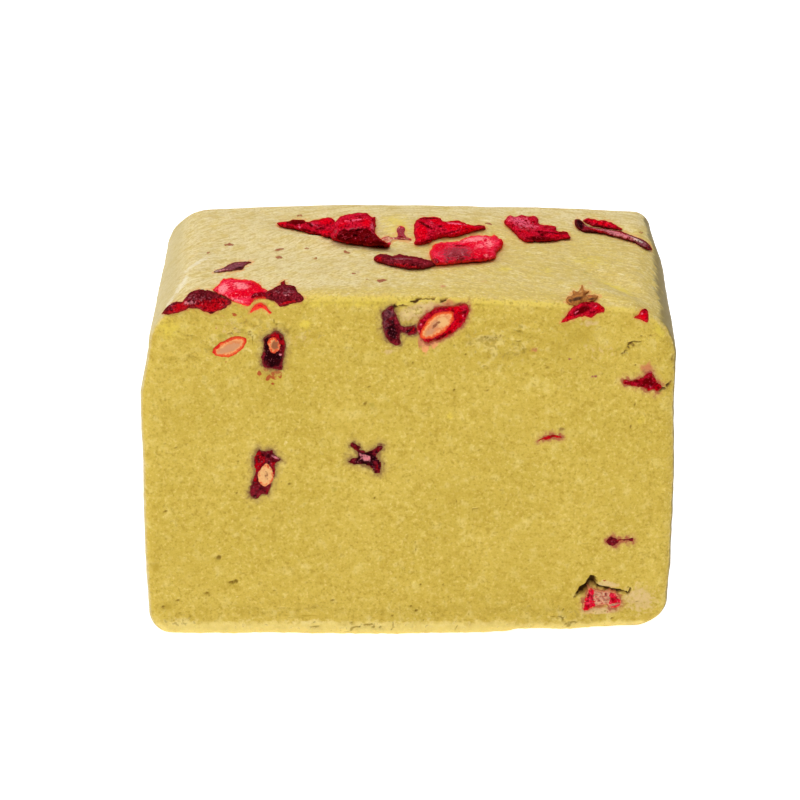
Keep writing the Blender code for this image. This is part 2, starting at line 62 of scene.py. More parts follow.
# The block, as it was packed.
WIDTH = 35.0
LENGTH = 22.0
FACE = -LENGTH / 2  # y of the front cut face
HEIGHT = 24.4  # at the middle of the front's top edge
BACK_DROP = 0.65
BACK_DROP_POWER = 1.5
DOME_LEFT = 0.75
DOME_RIGHT = 0.85
DOME_RIGHT_BACK = 0.35
DOME_AT = -3.0
SHOULDER_FRONT_LEFT = 3.4
SHOULDER_FRONT_RIGHT = 3.4
SHOULDER_BACK_LEFT = 3.0
SHOULDER_BACK_RIGHT = 1.0
FOOT_LEFT = 1.5
FOOT_RIGHT = 2.2
CUT_EDGE = 0.6
SIDE_BULGE = 0.15
FACE_WAVE = 0.06
FACE_WAVE_TURN = (0.55, 0.6)
FACE_WAVE_FROM = 0.9
FOOT_LIFT = 0.55
FOOT_LIFT_FROM = (3.0, 1.0)
FOOT_LIFT_FADE = 5.0
TOP_MOVES_FROM = 0.5
SHOULDER_FADE = (0.0, 2.5)
CUT_FADE = (-0.5, 1.2)
SIDES_MEET = 0.4
FOOT_TO_SHOULDER = 0.3
TINY = 1e-9

# Every oval below, of a form, a patch or a mark, is soft and has six numbers: its place across
# and up, half its breadth and half its height, its turn in degrees, and its height or strength.

# Dents and swells of the top: ovals in x and y.
TOP_FORMS = (
    (-4.8, 4.1, 4.4, 2.2, -30, -0.75), (-5.8, 1.2, 4.8, 1.6, -32, 0.45),
    (2.6, 1.4, 4.4, 3.2, 0, -0.7), (1.8, -4.5, 5, 1.5, 6, 0.22),
    (8.9, 5.2, 3, 2.4, -10, -0.35), (14.1, 5.6, 3.8, 1.4, -42, -0.35),
    (14.3, -6.4, 3.8, 1, -52, -0.4), (12.6, -8.6, 3.4, 1, -40, 0.2),
    (-15, -4.5, 1.2, 6, -8, 0.2), (-10.5, 6.5, 4, 2.4, 0, 0.15),
)

# Spacing of the block's grid, finer where small things show: each stretch's end and spacing.
GRAIN_ACROSS = (
    (-17.5, 0.0), (-16.5, 0.17), (-12.8, 0.25), (-8.0, 0.13), (-2.4, 0.26), (4.4, 0.11),
    (9.4, 0.26), (13.8, 0.16), (15.4, 0.09), (16.8, 0.16), (17.5, 0.17),
)
GRAIN_ALONG = ((-11.0, 0.0), (-9.4, 0.2), (9.4, 0.66), (11.0, 0.2))
GRAIN_UP = (
    (0.0, 0.0), (2.0, 0.17), (4.8, 0.15), (8.8, 0.32), (14.2, 0.165), (17.4, 0.28), (20.2, 0.16),
    (21.3, 0.10), (21.8, 0.15), (23.2, 0.10), (24.4, 0.085),
)

# The photograph looks down at the block at this angle.
LOOK_DOWN = math.radians(21.0)
AWAY = 99.0  # a distance that stands for out of reach


def smooth_step(value, low, high):
    share = np.clip((value - low) / (high - low), 0.0, 1.0)
    return share * share * (3.0 - 2.0 * share)


def bell(x, y, at, radii, turn=0.0):
    """A turned bell curve: 1 at its middle and 1/e at its radii."""
    angle = math.radians(turn)
    along = (x - at[0]) * math.cos(angle) + (y - at[1]) * math.sin(angle)
    aside = (y - at[1]) * math.cos(angle) - (x - at[0]) * math.sin(angle)
    return np.exp(-((along / radii[0]) ** 2) - (aside / radii[1]) ** 2)


def oval_sum(x, y, ovals):
    """Sum of soft ovals, each a turned bell curve of its own height."""
    total = np.zeros_like(x)
    for at_x, at_y, wide, high, turn, height in ovals:
        total += height * bell(x, y, (at_x, at_y), (wide, high), turn)
    return total


def highest_oval(x, y, ovals):
    """Strength of the strongest of some soft ovals at each point."""
    total = np.zeros_like(x)
    for at_x, at_y, wide, high, turn, strength in ovals:
        total = np.maximum(total, strength * bell(x, y, (at_x, at_y), (wide, high), turn))
    return total


# Noise.

MIXERS = (0x8DA6B343, 0xD8163841, 0xCB1AB31F)
SEED_MIXER = 0x9E3779B9
SCRAMBLERS = ((15, 0x2C1B3C6D), (12, 0x297A2D39), (15, 1))
ALL_BITS = 0xFFFFFFFF
BEAD_REACH = 0.85  # how far a bump reaches, as a share of their spacing


def hashed(cells, seed):
    """A number from 0 to 1 for each whole-numbered cell, by scrambling its bits."""
    mixed = np.full(cells.shape[:-1], (seed * SEED_MIXER) & ALL_BITS, np.uint64)
    for axis, mixer in enumerate(MIXERS):
        mixed ^= (cells[..., axis].astype(np.int64) * mixer).astype(np.uint64) & np.uint64(ALL_BITS)
    for shift, factor in SCRAMBLERS:
        mixed ^= mixed >> np.uint64(shift)
        mixed = (mixed * np.uint64(factor)) & np.uint64(ALL_BITS)
    return mixed.astype(float) / ALL_BITS


def noise(points, size, seed):
    """Smooth noise from -1 to 1: a hashed number at each corner of a lattice, blended between."""
    scaled = points / size
    cell = np.floor(scaled)
    share = smooth_step(scaled - cell, 0.0, 1.0)
    total = np.zeros(len(points))
    for corner in np.ndindex(2, 2, 2):
        weight = np.prod(np.where(corner, share, 1.0 - share), axis=1)
        total += weight * hashed(cell + corner, seed)
    return total * 2.0 - 1.0


def fractal(points, size, seed, octaves=3):
    """Noise at several sizes, each half as large and half as strong as the one before."""
    total = np.zeros(len(points))
    for octave in range(octaves):
        total += noise(points, size / 2**octave, seed + octave) / 2**octave
    return total


def beads(points, size, seed):
    """Round bumps packed side by side: 1 at each bump's middle, 0 in the gaps between."""
    scaled = points / size
    cell = np.floor(scaled)
    nearest = np.full(len(points), AWAY)
    for step in np.ndindex(3, 3, 3):
        near = cell + np.array(step) - 1
        middle = near + np.stack([hashed(near, seed + i) for i in range(3)], axis=1)
        nearest = np.minimum(nearest, np.linalg.norm(scaled - middle, axis=1))
    return 1.0 - smooth_step(nearest, 0.0, BEAD_REACH)


# Closed lines and planes.

ZONE_STEPS = 48


def closed_curve(corners, steps):
    """A smooth closed line through the corners, each stretch a cubic set by its neighbours."""
    corners = np.asarray(corners, float)
    place = np.arange(steps) * len(corners) / steps
    first = place.astype(int)
    share = (place - first)[:, None]
    before, start, end, after = (corners[(first + k) % len(corners)] for k in (-1, 0, 1, 2))
    bend = 2.0 * before - 5.0 * start + 4.0 * end - after
    twist = 3.0 * start - before - 3.0 * end + after
    return start + 0.5 * ((end - before) * share + bend * share**2 + twist * share**3)


def way_to_line(points, line):
    """Distance from each point of a plane to a line of straight stretches."""
    start = line[:-1]
    along = line[1:] - start
    reach = points[:, None] - start
    share = np.clip((reach * along).sum(axis=2) / (along**2).sum(axis=1), 0.0, 1.0)
    return np.linalg.norm(reach - share[..., None] * along, axis=2).min(axis=1)


def way_to_rim(points, rim):
    """Distance from each point to a closed line, less than nothing inside it."""
    closed = np.vstack([rim, rim[:1]])
    away = way_to_line(points, closed)
    start, end = closed[:-1], closed[1:]
    spans = (start[:, 1] > points[:, None, 1]) != (end[:, 1] > points[:, None, 1])
    rise = np.where(start[:, 1] == end[:, 1], TINY, end[:, 1] - start[:, 1])
    crossing = start[:, 0] + (points[:, None, 1] - start[:, 1]) * (end[:, 0] - start[:, 0]) / rise
    inside = (spans & (points[:, None, 0] < crossing)).sum(axis=1) % 2 == 1
    return np.where(inside, -away, away)


def in_zone(points, corners, soft):
    """1 inside a closed curve, 0 outside, with an edge that is soft over that distance."""
    return smooth_step(-way_to_rim(points, closed_curve(corners, ZONE_STEPS)), -soft, soft)


def view_height(y, z):
    """Height up a plane square to the photograph's view."""
    return y * math.sin(LOOK_DOWN) + z * math.cos(LOOK_DOWN)


def turned(points, degrees):
    """Points of a plane with a third coordinate, in axes turned by an angle about the third."""
    angle = math.radians(degrees)
    along = points[:, 0] * math.cos(angle) + points[:, 1] * math.sin(angle)
    aside = points[:, 1] * math.cos(angle) - points[:, 0] * math.sin(angle)
    return np.stack([along, aside, points[:, 2]], axis=1)


def set_fields(mesh, fields):
    """Stores a number for each point under each field's name."""
    for name, values in (fields or {}).items():
        layer = mesh.attributes.new(name, "FLOAT", "POINT")
        layer.data.foreach_set("value", np.asarray(values, np.float32))


def add_piece(name, points, faces, finish, fields=None):
    """A smooth piece of the object from points in millimetres, riding on the one body."""
    mesh = bpy.data.meshes.new(name)
    mesh.from_pydata((np.asarray(points) * MM).tolist(), [], faces)
    return wear(name, mesh, finish, fields)


def wear(name, mesh, finish, fields):
    """Puts a mesh into the scene with its fields, finish and slot."""
    set_fields(mesh, fields)
    mesh.shade_smooth()
    mesh.materials.append(finish)
    piece = bpy.data.objects.new(name, mesh)
    bpy.context.scene.collection.objects.link(piece)
    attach(piece, "root")
    return piece


# Fruit. Outlines and patches are as the photograph shows them: across, and up a plane square
# to the view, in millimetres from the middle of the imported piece.


@dataclass(frozen=True)
class Zone:
    """A patch of another colour with a shape of its own and a crisper edge."""

    kind: str
    corners: tuple
    amount: float = 1.0
    soft: float = 0.07


@dataclass(frozen=True)
class Fruit:
    """A piece of fruit that shows in the block's skin: a pad laid on the place where it lies."""

    name: str
    finish: str
    outline: tuple
    patches: dict = field(default_factory=dict)  # ovals of other colours, by kind
    zones: tuple = ()
    swells: tuple = ()  # ovals that stand out or lie in
    shift: tuple = (0.0, 0.0)
    upright: bool = False  # its outline is measured up the cut face, not up the view's plane
    stand: float = 0.03  # height of its rim over the dough
    rise: float = 0.30  # how much further its middle stands out
    under: float = 0.40  # how deep it goes
    fibre: float = 0.0  # direction of its ridges in degrees
    ridges: float = 0.07
    beading: float = 0.0
    fringe: float = 0.8  # how far its edge takes its edge colour, partly the stained dough and partly a painted glow of the thin rim
    smear: float = 0.0  # how far crumbs of the dough lie over its edge
    soaked: float = 0.0  # how far it is darkened all over
    gleam: float = 1.0  # how far its crests catch the light
    stain: str = "red"
    holder: str = ""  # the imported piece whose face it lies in, where it has no node of its own
    at: tuple = ()  # its middle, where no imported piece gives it
    slot: str = ""  # a material slot other than its finish; not used


CUT_FORM = {
    "upright": True, "stand": 0.012, "rise": 0.0, "under": 0.7, "ridges": 0.03, "smear": 1.0,
    "soaked": 0.45, "gleam": 0.5,
}
SEED_FORM = {
    "upright": True, "stand": 0.06, "rise": 0.0, "under": 0.3, "ridges": 0.012, "stain": "none",
}


def cut(name, finish, outline, **more):
    """A piece that the knife cut through, nearly flush with the face."""
    return Fruit(name, finish, outline, **{**CUT_FORM, **more})


def held_seed(name, holder, outline, **more):
    """A seed cut through with the fruit that holds it."""
    return Fruit(name, "fruit_seed", outline, holder=holder, **{**SEED_FORM, **more})


TOP_FRUIT = (
    Fruit(
        "fruit_left_long", "red_fruit", rise=0.35, fibre=-18, ridges=0.09, beading=0.03,
        swells=((-0.7, 0.55, 0.6, 0.22, 0, 0.15), (1.2, 0.5, 0.6, 0.4, -20, 0.15)),
        outline=(
            (-1.9, 0.2), (-1.2, 0.05), (-0.45, -0.15), (0.25, -0.4), (0.8, -0.45), (1.2, -0.7),
            (1.75, -0.75), (2.05, 0), (1.9, 0.7), (1.45, 0.95), (0.9, 0.85), (0.5, 0.8), (-0.05, 0.65),
            (-0.35, 0.8), (-1.05, 0.8), (-1.3, 0.65), (-1.75, 0.6), (-2.2, 0.5),
        ),
        patches=dict(
            bright=[
                (1.2, 0.62, 0.6, 0.28, -15, 1), (-1.7, 0.4, 0.5, 0.12, 10, 0.8),
                (1.3, -0.3, 0.4, 0.25, 0, 0.7),
            ],
            pale=[(-0.55, 0.15, 0.1, 0.3, 10, 0.9), (0.55, 0.3, 0.45, 0.16, -30, 0.7)],
            dust=[(-0.7, 0.6, 0.5, 0.12, 0, 0.6)],
            dark=[
                (0.2, 0.35, 0.35, 0.16, -30, 0.9), (0.85, 0.05, 0.5, 0.12, 20, 0.8),
                (0, -0.12, 0.9, 0.12, -17, 0.8),
            ],
        ),
        zones=(
            Zone("dark", (
                (-1.4, 0.42), (-0.7, 0.35), (-0.2, 0.45), (-0.3, 0.72), (-0.9, 0.8), (-1.4, 0.66),
            )),
        ),
    ),
    Fruit(
        "fruit_left_fold", "red_fruit", slot="dark_fruit", rise=0.75, fibre=12, ridges=0.1,
        swells=(
            (-0.2, 0.15, 1.2, 0.16, 8, 0.2), (0.9, -0.15, 0.16, 0.7, 30, 0.15),
            (-0.1, -0.75, 1, 0.4, 0, -0.25),
        ),
        outline=(
            (-2, -0.1), (-2.05, -0.65), (-1.65, -0.95), (-0.9, -1.1), (-0.1, -1.25), (0.9, -1.3),
            (1.9, -1.25), (1.95, -1.05), (1.4, -0.6), (1.05, -0.2), (1.05, 0.5), (1, 1.05), (0.65, 1.15),
            (0.35, 1.4), (-0.25, 1.45), (-0.75, 1.35), (-1.35, 1.2), (-1.85, 0.7),
        ),
        patches=dict(
            bright=[
                (0.4, 0.55, 0.5, 0.35, 0, 0.8), (-1.2, 0.4, 0.5, 0.3, 50, 0.5),
                (1.2, -0.95, 0.5, 0.12, -30, 0.5),
            ],
            pale=[
                (0.85, 0.15, 0.18, 0.55, 12, 0.9), (-0.45, 0.75, 0.9, 0.16, 8, 0.7),
                (-0.2, 1.25, 0.6, 0.12, 0, 0.4),
            ],
            dust=[
                (-0.5, 0.08, 0.9, 0.1, 10, 0.9), (-1.7, -0.4, 0.16, 0.5, 0, 0.7),
                (1.7, -1.1, 0.3, 0.15, -30, 0.9),
            ],
            dark=[(-0.1, 1.05, 0.7, 0.1, 8, 0.6)],
        ),
        zones=(
            Zone("dark", (
                (-0.9, -1.05), (-0.1, -1.25), (1.8, -1.2), (1.6, -0.9), (1.1, -0.45), (0.5, 0.05),
                (0.05, 0.1), (-0.4, -0.05), (-1.35, -0.25), (-1.55, -0.8),
            )),
        ),
    ),
    Fruit(
        "fruit_dark_roll", "dark_fruit", rise=0.38, fibre=-10, beading=0.04,
        swells=((0, 0.05, 1.3, 0.12, -8, 0.08),),
        outline=(
            (-1.65, -0.25), (-1, -0.4), (-0.3, -0.6), (0.4, -0.7), (1.2, -0.65), (2.15, -0.45),
            (1.85, -0.1), (1.45, 0.1), (0.9, 0.3), (0.3, 0.4), (-0.3, 0.5), (-0.85, 0.35), (-1.25, 0.5),
            (-1.6, 0.5), (-1.95, 0.35), (-2.05, 0),
        ),
        patches=dict(
            bright=[(-1.75, 0.05, 0.28, 0.22, 0, 0.9), (0.2, -0.5, 1.5, 0.12, -6, 0.6)],
            pale=[(-0.3, 0, 0.5, 0.04, 3, 0.5)],
            dust=[(-0.2, 0.05, 1.1, 0.1, -3, 0.9), (-1.4, 0.32, 0.35, 0.1, 0, 0.5)],
        ),
    ),
    Fruit(
        "fruit_middle_back", "red_fruit", rise=0.4, fibre=-20, ridges=0.09,
        swells=((-1.2, 0.4, 0.8, 0.4, -30, 0.2), (0.9, 0.25, 1.3, 0.12, -14, 0.12)),
        outline=(
            (-1.75, -1.25), (-1.2, -1.1), (-0.9, -0.9), (-0.5, -0.75), (0.05, -0.7), (0.7, -0.65),
            (1.3, -0.4), (2.15, -0.15), (2.7, -0.05), (2.55, 0.3), (1.8, 0.3), (1.15, 0.5), (0.55, 0.65),
            (-0.15, 0.55), (-0.5, 0.85), (-0.9, 0.95), (-1.5, 0.95), (-2.05, 0.75), (-2.3, 0.3),
            (-2.35, -0.3), (-2.25, -0.85), (-2.35, -1.25),
        ),
        patches=dict(
            bright=[
                (-0.75, 0.5, 0.35, 0.25, 0, 1), (-1.8, -0.3, 0.35, 0.7, 0, 1),
                (0.9, 0.1, 1.5, 0.45, -12, 1),
            ],
            pale=[(-1.1, 0.35, 0.2, 0.14, -30, 0.7), (0.6, 0.32, 0.9, 0.1, -8, 0.9)],
            dust=[(-0.7, -0.4, 0.5, 0.2, 0, 0.5)],
            dark=[
                (-1.3, 0.72, 0.9, 0.1, 0, 0.9), (-1.55, 0.2, 0.65, 0.12, -32, 1),
                (-0.55, 0.1, 0.3, 0.12, 0, 0.8), (0.5, -0.28, 1.2, 0.08, 14, 0.8),
                (2.2, 0.2, 0.5, 0.08, 0, 0.9), (-1.4, -1, 0.7, 0.1, 22, 0.9),
            ],
        ),
    ),
    Fruit(
        "fruit_middle_bright", "pink_fruit", rise=0.5, fibre=25, ridges=0.06,
        swells=(
            (0.9, 0.75, 1.2, 0.3, 5, 0.15), (-1.9, 0.2, 0.5, 0.3, 30, 0.12),
            (-0.7, 0.25, 0.7, 0.12, -5, -0.1),
        ),
        outline=(
            (-2.35, -1.2), (-1.85, -1.3), (-1.3, -1.25), (-0.5, -1.15), (0.2, -1.05), (1.05, -0.95),
            (1.8, -0.75), (2.1, -0.2), (2.5, 0.25), (2.5, 0.75), (2.25, 0.95), (2, 1.2), (1.75, 1.1),
            (1.05, 1.15), (0.3, 1.1), (-0.3, 0.85), (-0.75, 0.65), (-1.45, 0.65), (-2, 0.55), (-2.4, 0.2),
            (-2.6, -0.3),
        ),
        patches=dict(
            bright=[
                (-1.9, 0.15, 0.55, 0.28, 20, 1), (2.38, 0.45, 0.14, 0.5, 0, 1),
                (0.5, -0.45, 0.9, 0.45, 0, 1), (0.1, 0.35, 0.9, 0.14, 12, 0.8),
            ],
            pale=[
                (0.5, 0.75, 1.2, 0.22, 6, 1), (1.5, 0.4, 0.4, 0.4, 30, 0.9),
                (0.9, 0.2, 0.6, 0.25, 20, 0.6), (1.2, -0.6, 0.3, 0.2, 0, 0.6),
                (-1, 0.6, 0.5, 0.06, 0, 0.6),
            ],
            dust=[(-0.75, -0.45, 1.35, 0.8, 10, 1.15)],
            dark=[
                (-0.6, -0.7, 1.1, 0.45, 10, 0.55), (-0.5, 0.28, 0.6, 0.1, -5, 0.8),
                (-2.2, -1, 0.4, 0.2, -20, 0.8), (2.2, 1.05, 0.3, 0.07, -30, 1),
                (0.6, -0.85, 0.9, 0.12, 5, 0.6),
            ],
        ),
    ),
    Fruit(
        "fruit_right_flake", "red_fruit", rise=0.28, fibre=-15, ridges=0.12,
        swells=((0.6, -0.3, 1.4, 0.14, -8, 0.12), (-1.2, 0.4, 0.5, 0.5, 0, 0.08)),
        outline=(
            (-1.4, -0.25), (-0.7, -1.1), (0.2, -1.05), (1.1, -1.05), (1.9, -0.9), (2.5, -0.8),
            (2.48, -0.45), (2.35, -0.2), (1.65, -0.13), (1.6, 0.2), (0.55, 0.4), (0.45, 0.75),
            (0.25, 1.05), (-0.25, 1), (-0.7, 1.1), (-1.2, 0.98), (-1.55, 1.05), (-2, 0.6), (-1.9, 0.25),
        ),
        patches=dict(
            bright=[(-0.5, -0.4, 0.8, 0.15, -30, 0.5), (1.5, -0.65, 0.6, 0.12, 0, 0.7)],
            pale=[(-1, 0.6, 1, 0.5, -15, 0.85), (-0.2, 0.2, 0.9, 0.2, -10, 0.65)],
            dust=[
                (-0.6, 0.3, 1.3, 0.6, -20, 0.75), (0, 0.85, 0.8, 0.1, 0, 0.6),
                (1.2, 0, 0.5, 0.12, 0, 0.6),
            ],
            dark=[
                (0.9, -0.35, 1.2, 0.07, -6, 1), (0.2, -0.85, 1.1, 0.25, 0, 0.9),
                (2.1, -0.35, 0.4, 0.15, 0, 0.8), (0.9, 0.12, 0.5, 0.1, 0, 0.6),
            ],
        ),
    ),
    Fruit(
        "fruit_right_flap", "red_fruit", rise=0.25, ridges=0.03, beading=0.07,
        outline=(
            (-1.05, -0.15), (-0.3, -0.35), (0.5, -0.5), (1.2, -0.5), (0.8, -0.1), (0.25, 0.2),
            (-0.3, 0.25), (-1.05, 0.4), (-1.45, 0.2),
        ),
        patches=dict(
            bright=[(-0.3, 0.05, 1, 0.2, -18, 0.8)],
            pale=[(-0.1, 0.1, 0.7, 0.05, -22, 0.6)],
            dark=[(0, -0.35, 1.2, 0.1, -15, 0.9)],
        ),
    ),
    Fruit(
        "fruit_right_strip", "dark_fruit", rise=0.26, fibre=-25, ridges=0.08,
        outline=(
            (-2.5, 0.55), (-2, 0.15), (-1.25, 0.1), (-0.4, -0.1), (0.7, -0.45), (1.5, -0.8), (2.2, -1.25),
            (2.65, -1.15), (2.2, -0.5), (1.5, -0.15), (0.6, 0.25), (-0.1, 0.35), (-0.85, 0.45),
            (-1.7, 0.7), (-1.95, 1.05), (-2.4, 1.2), (-2.55, 1),
        ),
        patches=dict(
            bright=[(-0.2, 0.05, 1.8, 0.35, -20, 1.3)],
            pale=[(-1, 0.36, 0.9, 0.08, -15, 1), (0.2, 0, 1.4, 0.22, -22, 1.2)],
            dust=[
                (-1.6, 0.55, 0.7, 0.12, -18, 1), (0.9, -0.3, 1.6, 0.3, -28, 0.8),
                (1.7, -0.62, 1, 0.35, -32, 1.2),
            ],
            crust=[(1.5, -0.5, 1, 0.14, -32, 0.8)],
            dark=[
                (-2.25, 0.75, 0.35, 0.5, 0, 1), (-1.5, 0.2, 0.6, 0.08, -5, 0.8),
                (0.1, -0.25, 1, 0.05, -22, 0.7), (2.3, -1, 0.35, 0.2, -30, 0.5),
            ],
        ),
    ),
    Fruit(
        "fruit_buried_dark", "dark_fruit", stand=0.01, rise=0.03, fibre=25, ridges=0.03, fringe=1,
        smear=1.3, stain="dark",
        outline=(
            (-0.65, -0.25), (0.1, -0.15), (0.65, -0.05), (0.85, 0.25), (1.3, 0.55), (0.7, 0.6),
            (-0.05, 0.5), (-0.7, 0.1), (-1.3, -0.2),
        ),
        patches=dict(
            pale=[(-0.6, -0.1, 0.8, 0.08, 14, 0.8)],
            dust=[(-0.3, 0.1, 1.6, 0.7, 12, 1.4), (1.2, 0.3, 0.5, 0.3, 10, 0.9)],
            crust=[(-1.2, -0.25, 0.6, 0.25, 10, 1.2)],
            dark=[(0.45, 0.05, 0.6, 0.16, 15, 0.8)],
        ),
    ),
    Fruit(
        "fruit_buried_small", "pink_fruit", stand=0.01, rise=0.03, ridges=0.03, fringe=0, smear=0.9,
        outline=(
            (-1.25, -0.25), (-0.9, -0.55), (-0.6, -0.7), (-0.45, -0.4), (0.15, -0.38), (0.85, -0.45),
            (0.9, -0.22), (0.45, 0.05), (0.45, 0.55), (0.12, 0.75), (-0.15, 0.5), (-0.18, -0.05),
            (-0.75, -0.05),
        ),
        patches=dict(
            dust=[(0, 0, 1.6, 1, 0, 1.3)],
            crust=[
                (-0.7, -0.35, 0.7, 0.25, 0, 1.2), (0.5, -0.2, 0.5, 0.12, 0, 0.8),
                (0.15, 0.6, 0.2, 0.2, 0, 0.5),
            ],
            dark=[(0.3, -0.15, 0.6, 0.1, -10, 0.8)],
        ),
    ),
    Fruit(
        "fruit_corner_dark", "dark_fruit", fibre=15, ridges=0.04, beading=0.11,
        swells=((0.2, 0.4, 0.9, 0.4, 0, 0.12),),
        outline=(
            (-1.6, -0.7), (-0.85, -0.5), (-0.15, -0.35), (0.5, -0.55), (1, -0.7), (1.3, -0.55),
            (1.95, -0.3), (2.35, 0.05), (1.9, 0.35), (1.4, 0.6), (0.9, 0.85), (0.3, 0.95), (-0.2, 0.9),
            (-0.65, 0.6), (-0.95, 0.1), (-1.4, 0.1), (-1.8, -0.05), (-2.25, -0.65),
        ),
        patches=dict(
            bright=[
                (-1.3, -0.5, 0.9, 0.14, 12, 1.1), (1.1, -0.2, 0.9, 0.4, 20, 1.2),
                (-0.9, -0.15, 0.7, 0.25, 10, 0.9), (0.2, -0.05, 1.2, 0.3, 10, 0.6),
            ],
            pale=[(-0.35, 0.02, 0.5, 0.14, 0, 1)],
            dust=[(-1.6, -0.1, 0.35, 0.15, 25, 0.9), (0, 0.35, 1, 0.35, 5, 0.75)],
            dark=[(0.9, 0.35, 0.6, 0.2, -20, 0.5), (0.9, -0.62, 0.5, 0.08, 0, 0.8)],
        ),
    ),
    Fruit(
        "fruit_corner_pink", "pink_fruit", rise=0.22, fibre=60, ridges=0.035,
        swells=((-0.9, 0.35, 0.4, 0.4, 0, 0.08), (0.3, 0.5, 0.6, 0.3, 0, 0.06)),
        outline=(
            (-1.5, 0), (-1, -0.25), (-0.4, -0.55), (0.15, -0.75), (0.65, -0.9), (0.95, -0.6), (1.3, -0.4),
            (1.9, -0.35), (1.9, 0.1), (1.55, 0.4), (1.15, 0.75), (0.6, 0.95), (-0.15, 1.05), (-0.7, 1.15),
            (-1.2, 1.05), (-1.5, 0.6), (-1.8, 0.25),
        ),
        patches=dict(
            bright=[(-0.5, 1.05, 1, 0.06, -5, 1)],
            pale=[
                (-1.05, 0.3, 0.42, 0.36, 30, 1.2), (0.1, 0.5, 0.65, 0.26, -10, 1),
                (-0.1, -0.5, 0.6, 0.16, -20, 0.9),
            ],
            crust=[(-1, 0.35, 0.14, 0.12, 30, 0.8)],
            dark=[(1.3, 0.62, 0.4, 0.07, -40, 0.7), (-1, -0.2, 0.5, 0.05, -25, 0.6)],
        ),
        zones=(
            Zone("bright", (
                (-0.6, -0.2), (0.1, -0.3), (0.8, -0.2), (1.6, 0.1), (1.2, 0.6), (0.6, 0.7), (0.6, 0.2),
                (-0.2, 0.1),
            ), 1, 0.15),
            Zone("dark", (
                (0.85, -0.35), (1.3, -0.38), (1.9, -0.3), (1.9, 0.05), (1.4, 0.05), (0.95, -0.05),
            ), 0.9, 0.1),
        ),
    ),
    Fruit(
        "fruit_corner_berry", "dark_fruit", rise=0.34, ridges=0.03, beading=0.12,
        outline=(
            (-1.15, -0.25), (-0.55, -0.45), (-0.2, -0.8), (0.6, -0.6), (1.25, -0.45), (1.35, -0.15),
            (0.95, 0.2), (0.65, 0.65), (0.15, 0.75), (0, 1.05), (-0.35, 0.85), (-0.3, 0.7), (-0.7, 0.5),
            (-1.25, 0.1),
        ),
        patches=dict(
            bright=[
                (-0.1, 0.9, 0.25, 0.16, 0, 1), (0.5, -0.5, 0.7, 0.08, 12, 0.9),
                (-0.9, 0, 0.3, 0.1, 0, 0.5),
            ],
            pale=[(0.3, -0.05, 0.35, 0.07, 0, 0.8), (-0.6, 0.15, 0.2, 0.05, 10, 0.6)],
            dust=[(0.1, 0.25, 0.8, 0.35, 0, 0.7)],
        ),
    ),
    Fruit(
        "fruit_corner_arch", "pink_fruit", slot="red_fruit", stand=0, rise=0.08, ridges=0.03, fringe=1.6,
        smear=0.6,
        outline=(
            (-0.25, -0.2), (0.1, -0.2), (0.4, -0.45), (0.6, -0.4), (0.25, 0.05), (-0.1, 0.25),
            (-0.55, 0.05), (-0.85, -0.45), (-0.65, -0.42),
        ),
        patches=dict(bright=[(-0.05, 0.05, 0.6, 0.12, 0, 0.4)]),
    ),
    Fruit(
        "calyx", "dry_calyx", stand=0.02, rise=0.16, fibre=75, ridges=0.12, stain="none",
        outline=(
            (-0.55, -0.85), (-0.05, -0.65), (0.6, -0.55), (0.9, -0.35), (1.15, -0.1), (0.6, -0.1),
            (0.2, -0.1), (0.4, 0.15), (0.1, 0.25), (0, 0.6), (-0.15, 0.35), (-0.35, 0.15), (-0.65, 0.25),
            (-0.75, -0.05), (-1.1, -0.25), (-1.15, -0.65),
        ),
        patches=dict(
            bright=[(0.3, -0.15, 0.5, 0.1, -10, 0.6)],
            pale=[(-0.2, 0.15, 0.12, 0.3, 0, 0.6)],
            dark=[(-0.5, -0.4, 0.6, 0.16, 15, 0.8), (0.5, -0.4, 0.4, 0.1, 10, 0.7)],
        ),
    ),
    Fruit(
        "fruit_cut_edge", "red_fruit", stand=0, rise=0.16, ridges=0.05, beading=0.06, soaked=0.3,
        gleam=0.6,
        outline=(
            (-1.05, -0.7), (-0.65, -0.55), (-0.25, -0.45), (0.2, -0.42), (0.7, -0.45), (1, -0.2),
            (1.35, -0.1), (1.45, 0.15), (1.2, 0.45), (0.7, 0.65), (0.05, 0.65), (-0.45, 0.45),
            (-0.8, 0.1), (-1.1, -0.35), (-1.42, -0.75),
        ),
        patches=dict(
            bright=[(1.15, 0.15, 0.3, 0.2, 0, 1), (-0.9, -0.45, 0.5, 0.12, 35, 0.9)],
            pale=[
                (0.85, 0.28, 0.16, 0.05, 20, 0.9), (-0.4, -0.08, 0.25, 0.05, 25, 0.7),
                (0.5, 0.05, 0.25, 0.05, 0, 0.4),
            ],
            dark=[(-0.1, 0, 0.8, 0.28, 20, 0.9), (0.2, 0.5, 0.7, 0.1, 0, 0.7)],
        ),
    ),
    Fruit(
        "fruit_chip_right", "red_fruit", stand=0, rise=0.12, ridges=0.03, soaked=0.25, gleam=0.6,
        outline=(
            (0, -0.45), (0.4, -0.65), (0.5, -0.4), (0.55, 0.05), (0.4, 0.3), (0.05, 0.2), (-0.15, -0.15),
            (-0.4, -0.35),
        ),
        patches=dict(
            bright=[(0.1, -0.25, 0.4, 0.25, 0, 1)],
            # A painted glint.
            pale=[(0.08, -0.08, 0.08, 0.08, 0, 0.9)],
            dark=[(0.3, 0.2, 0.3, 0.12, -20, 0.7)],
        ),
    ),
)

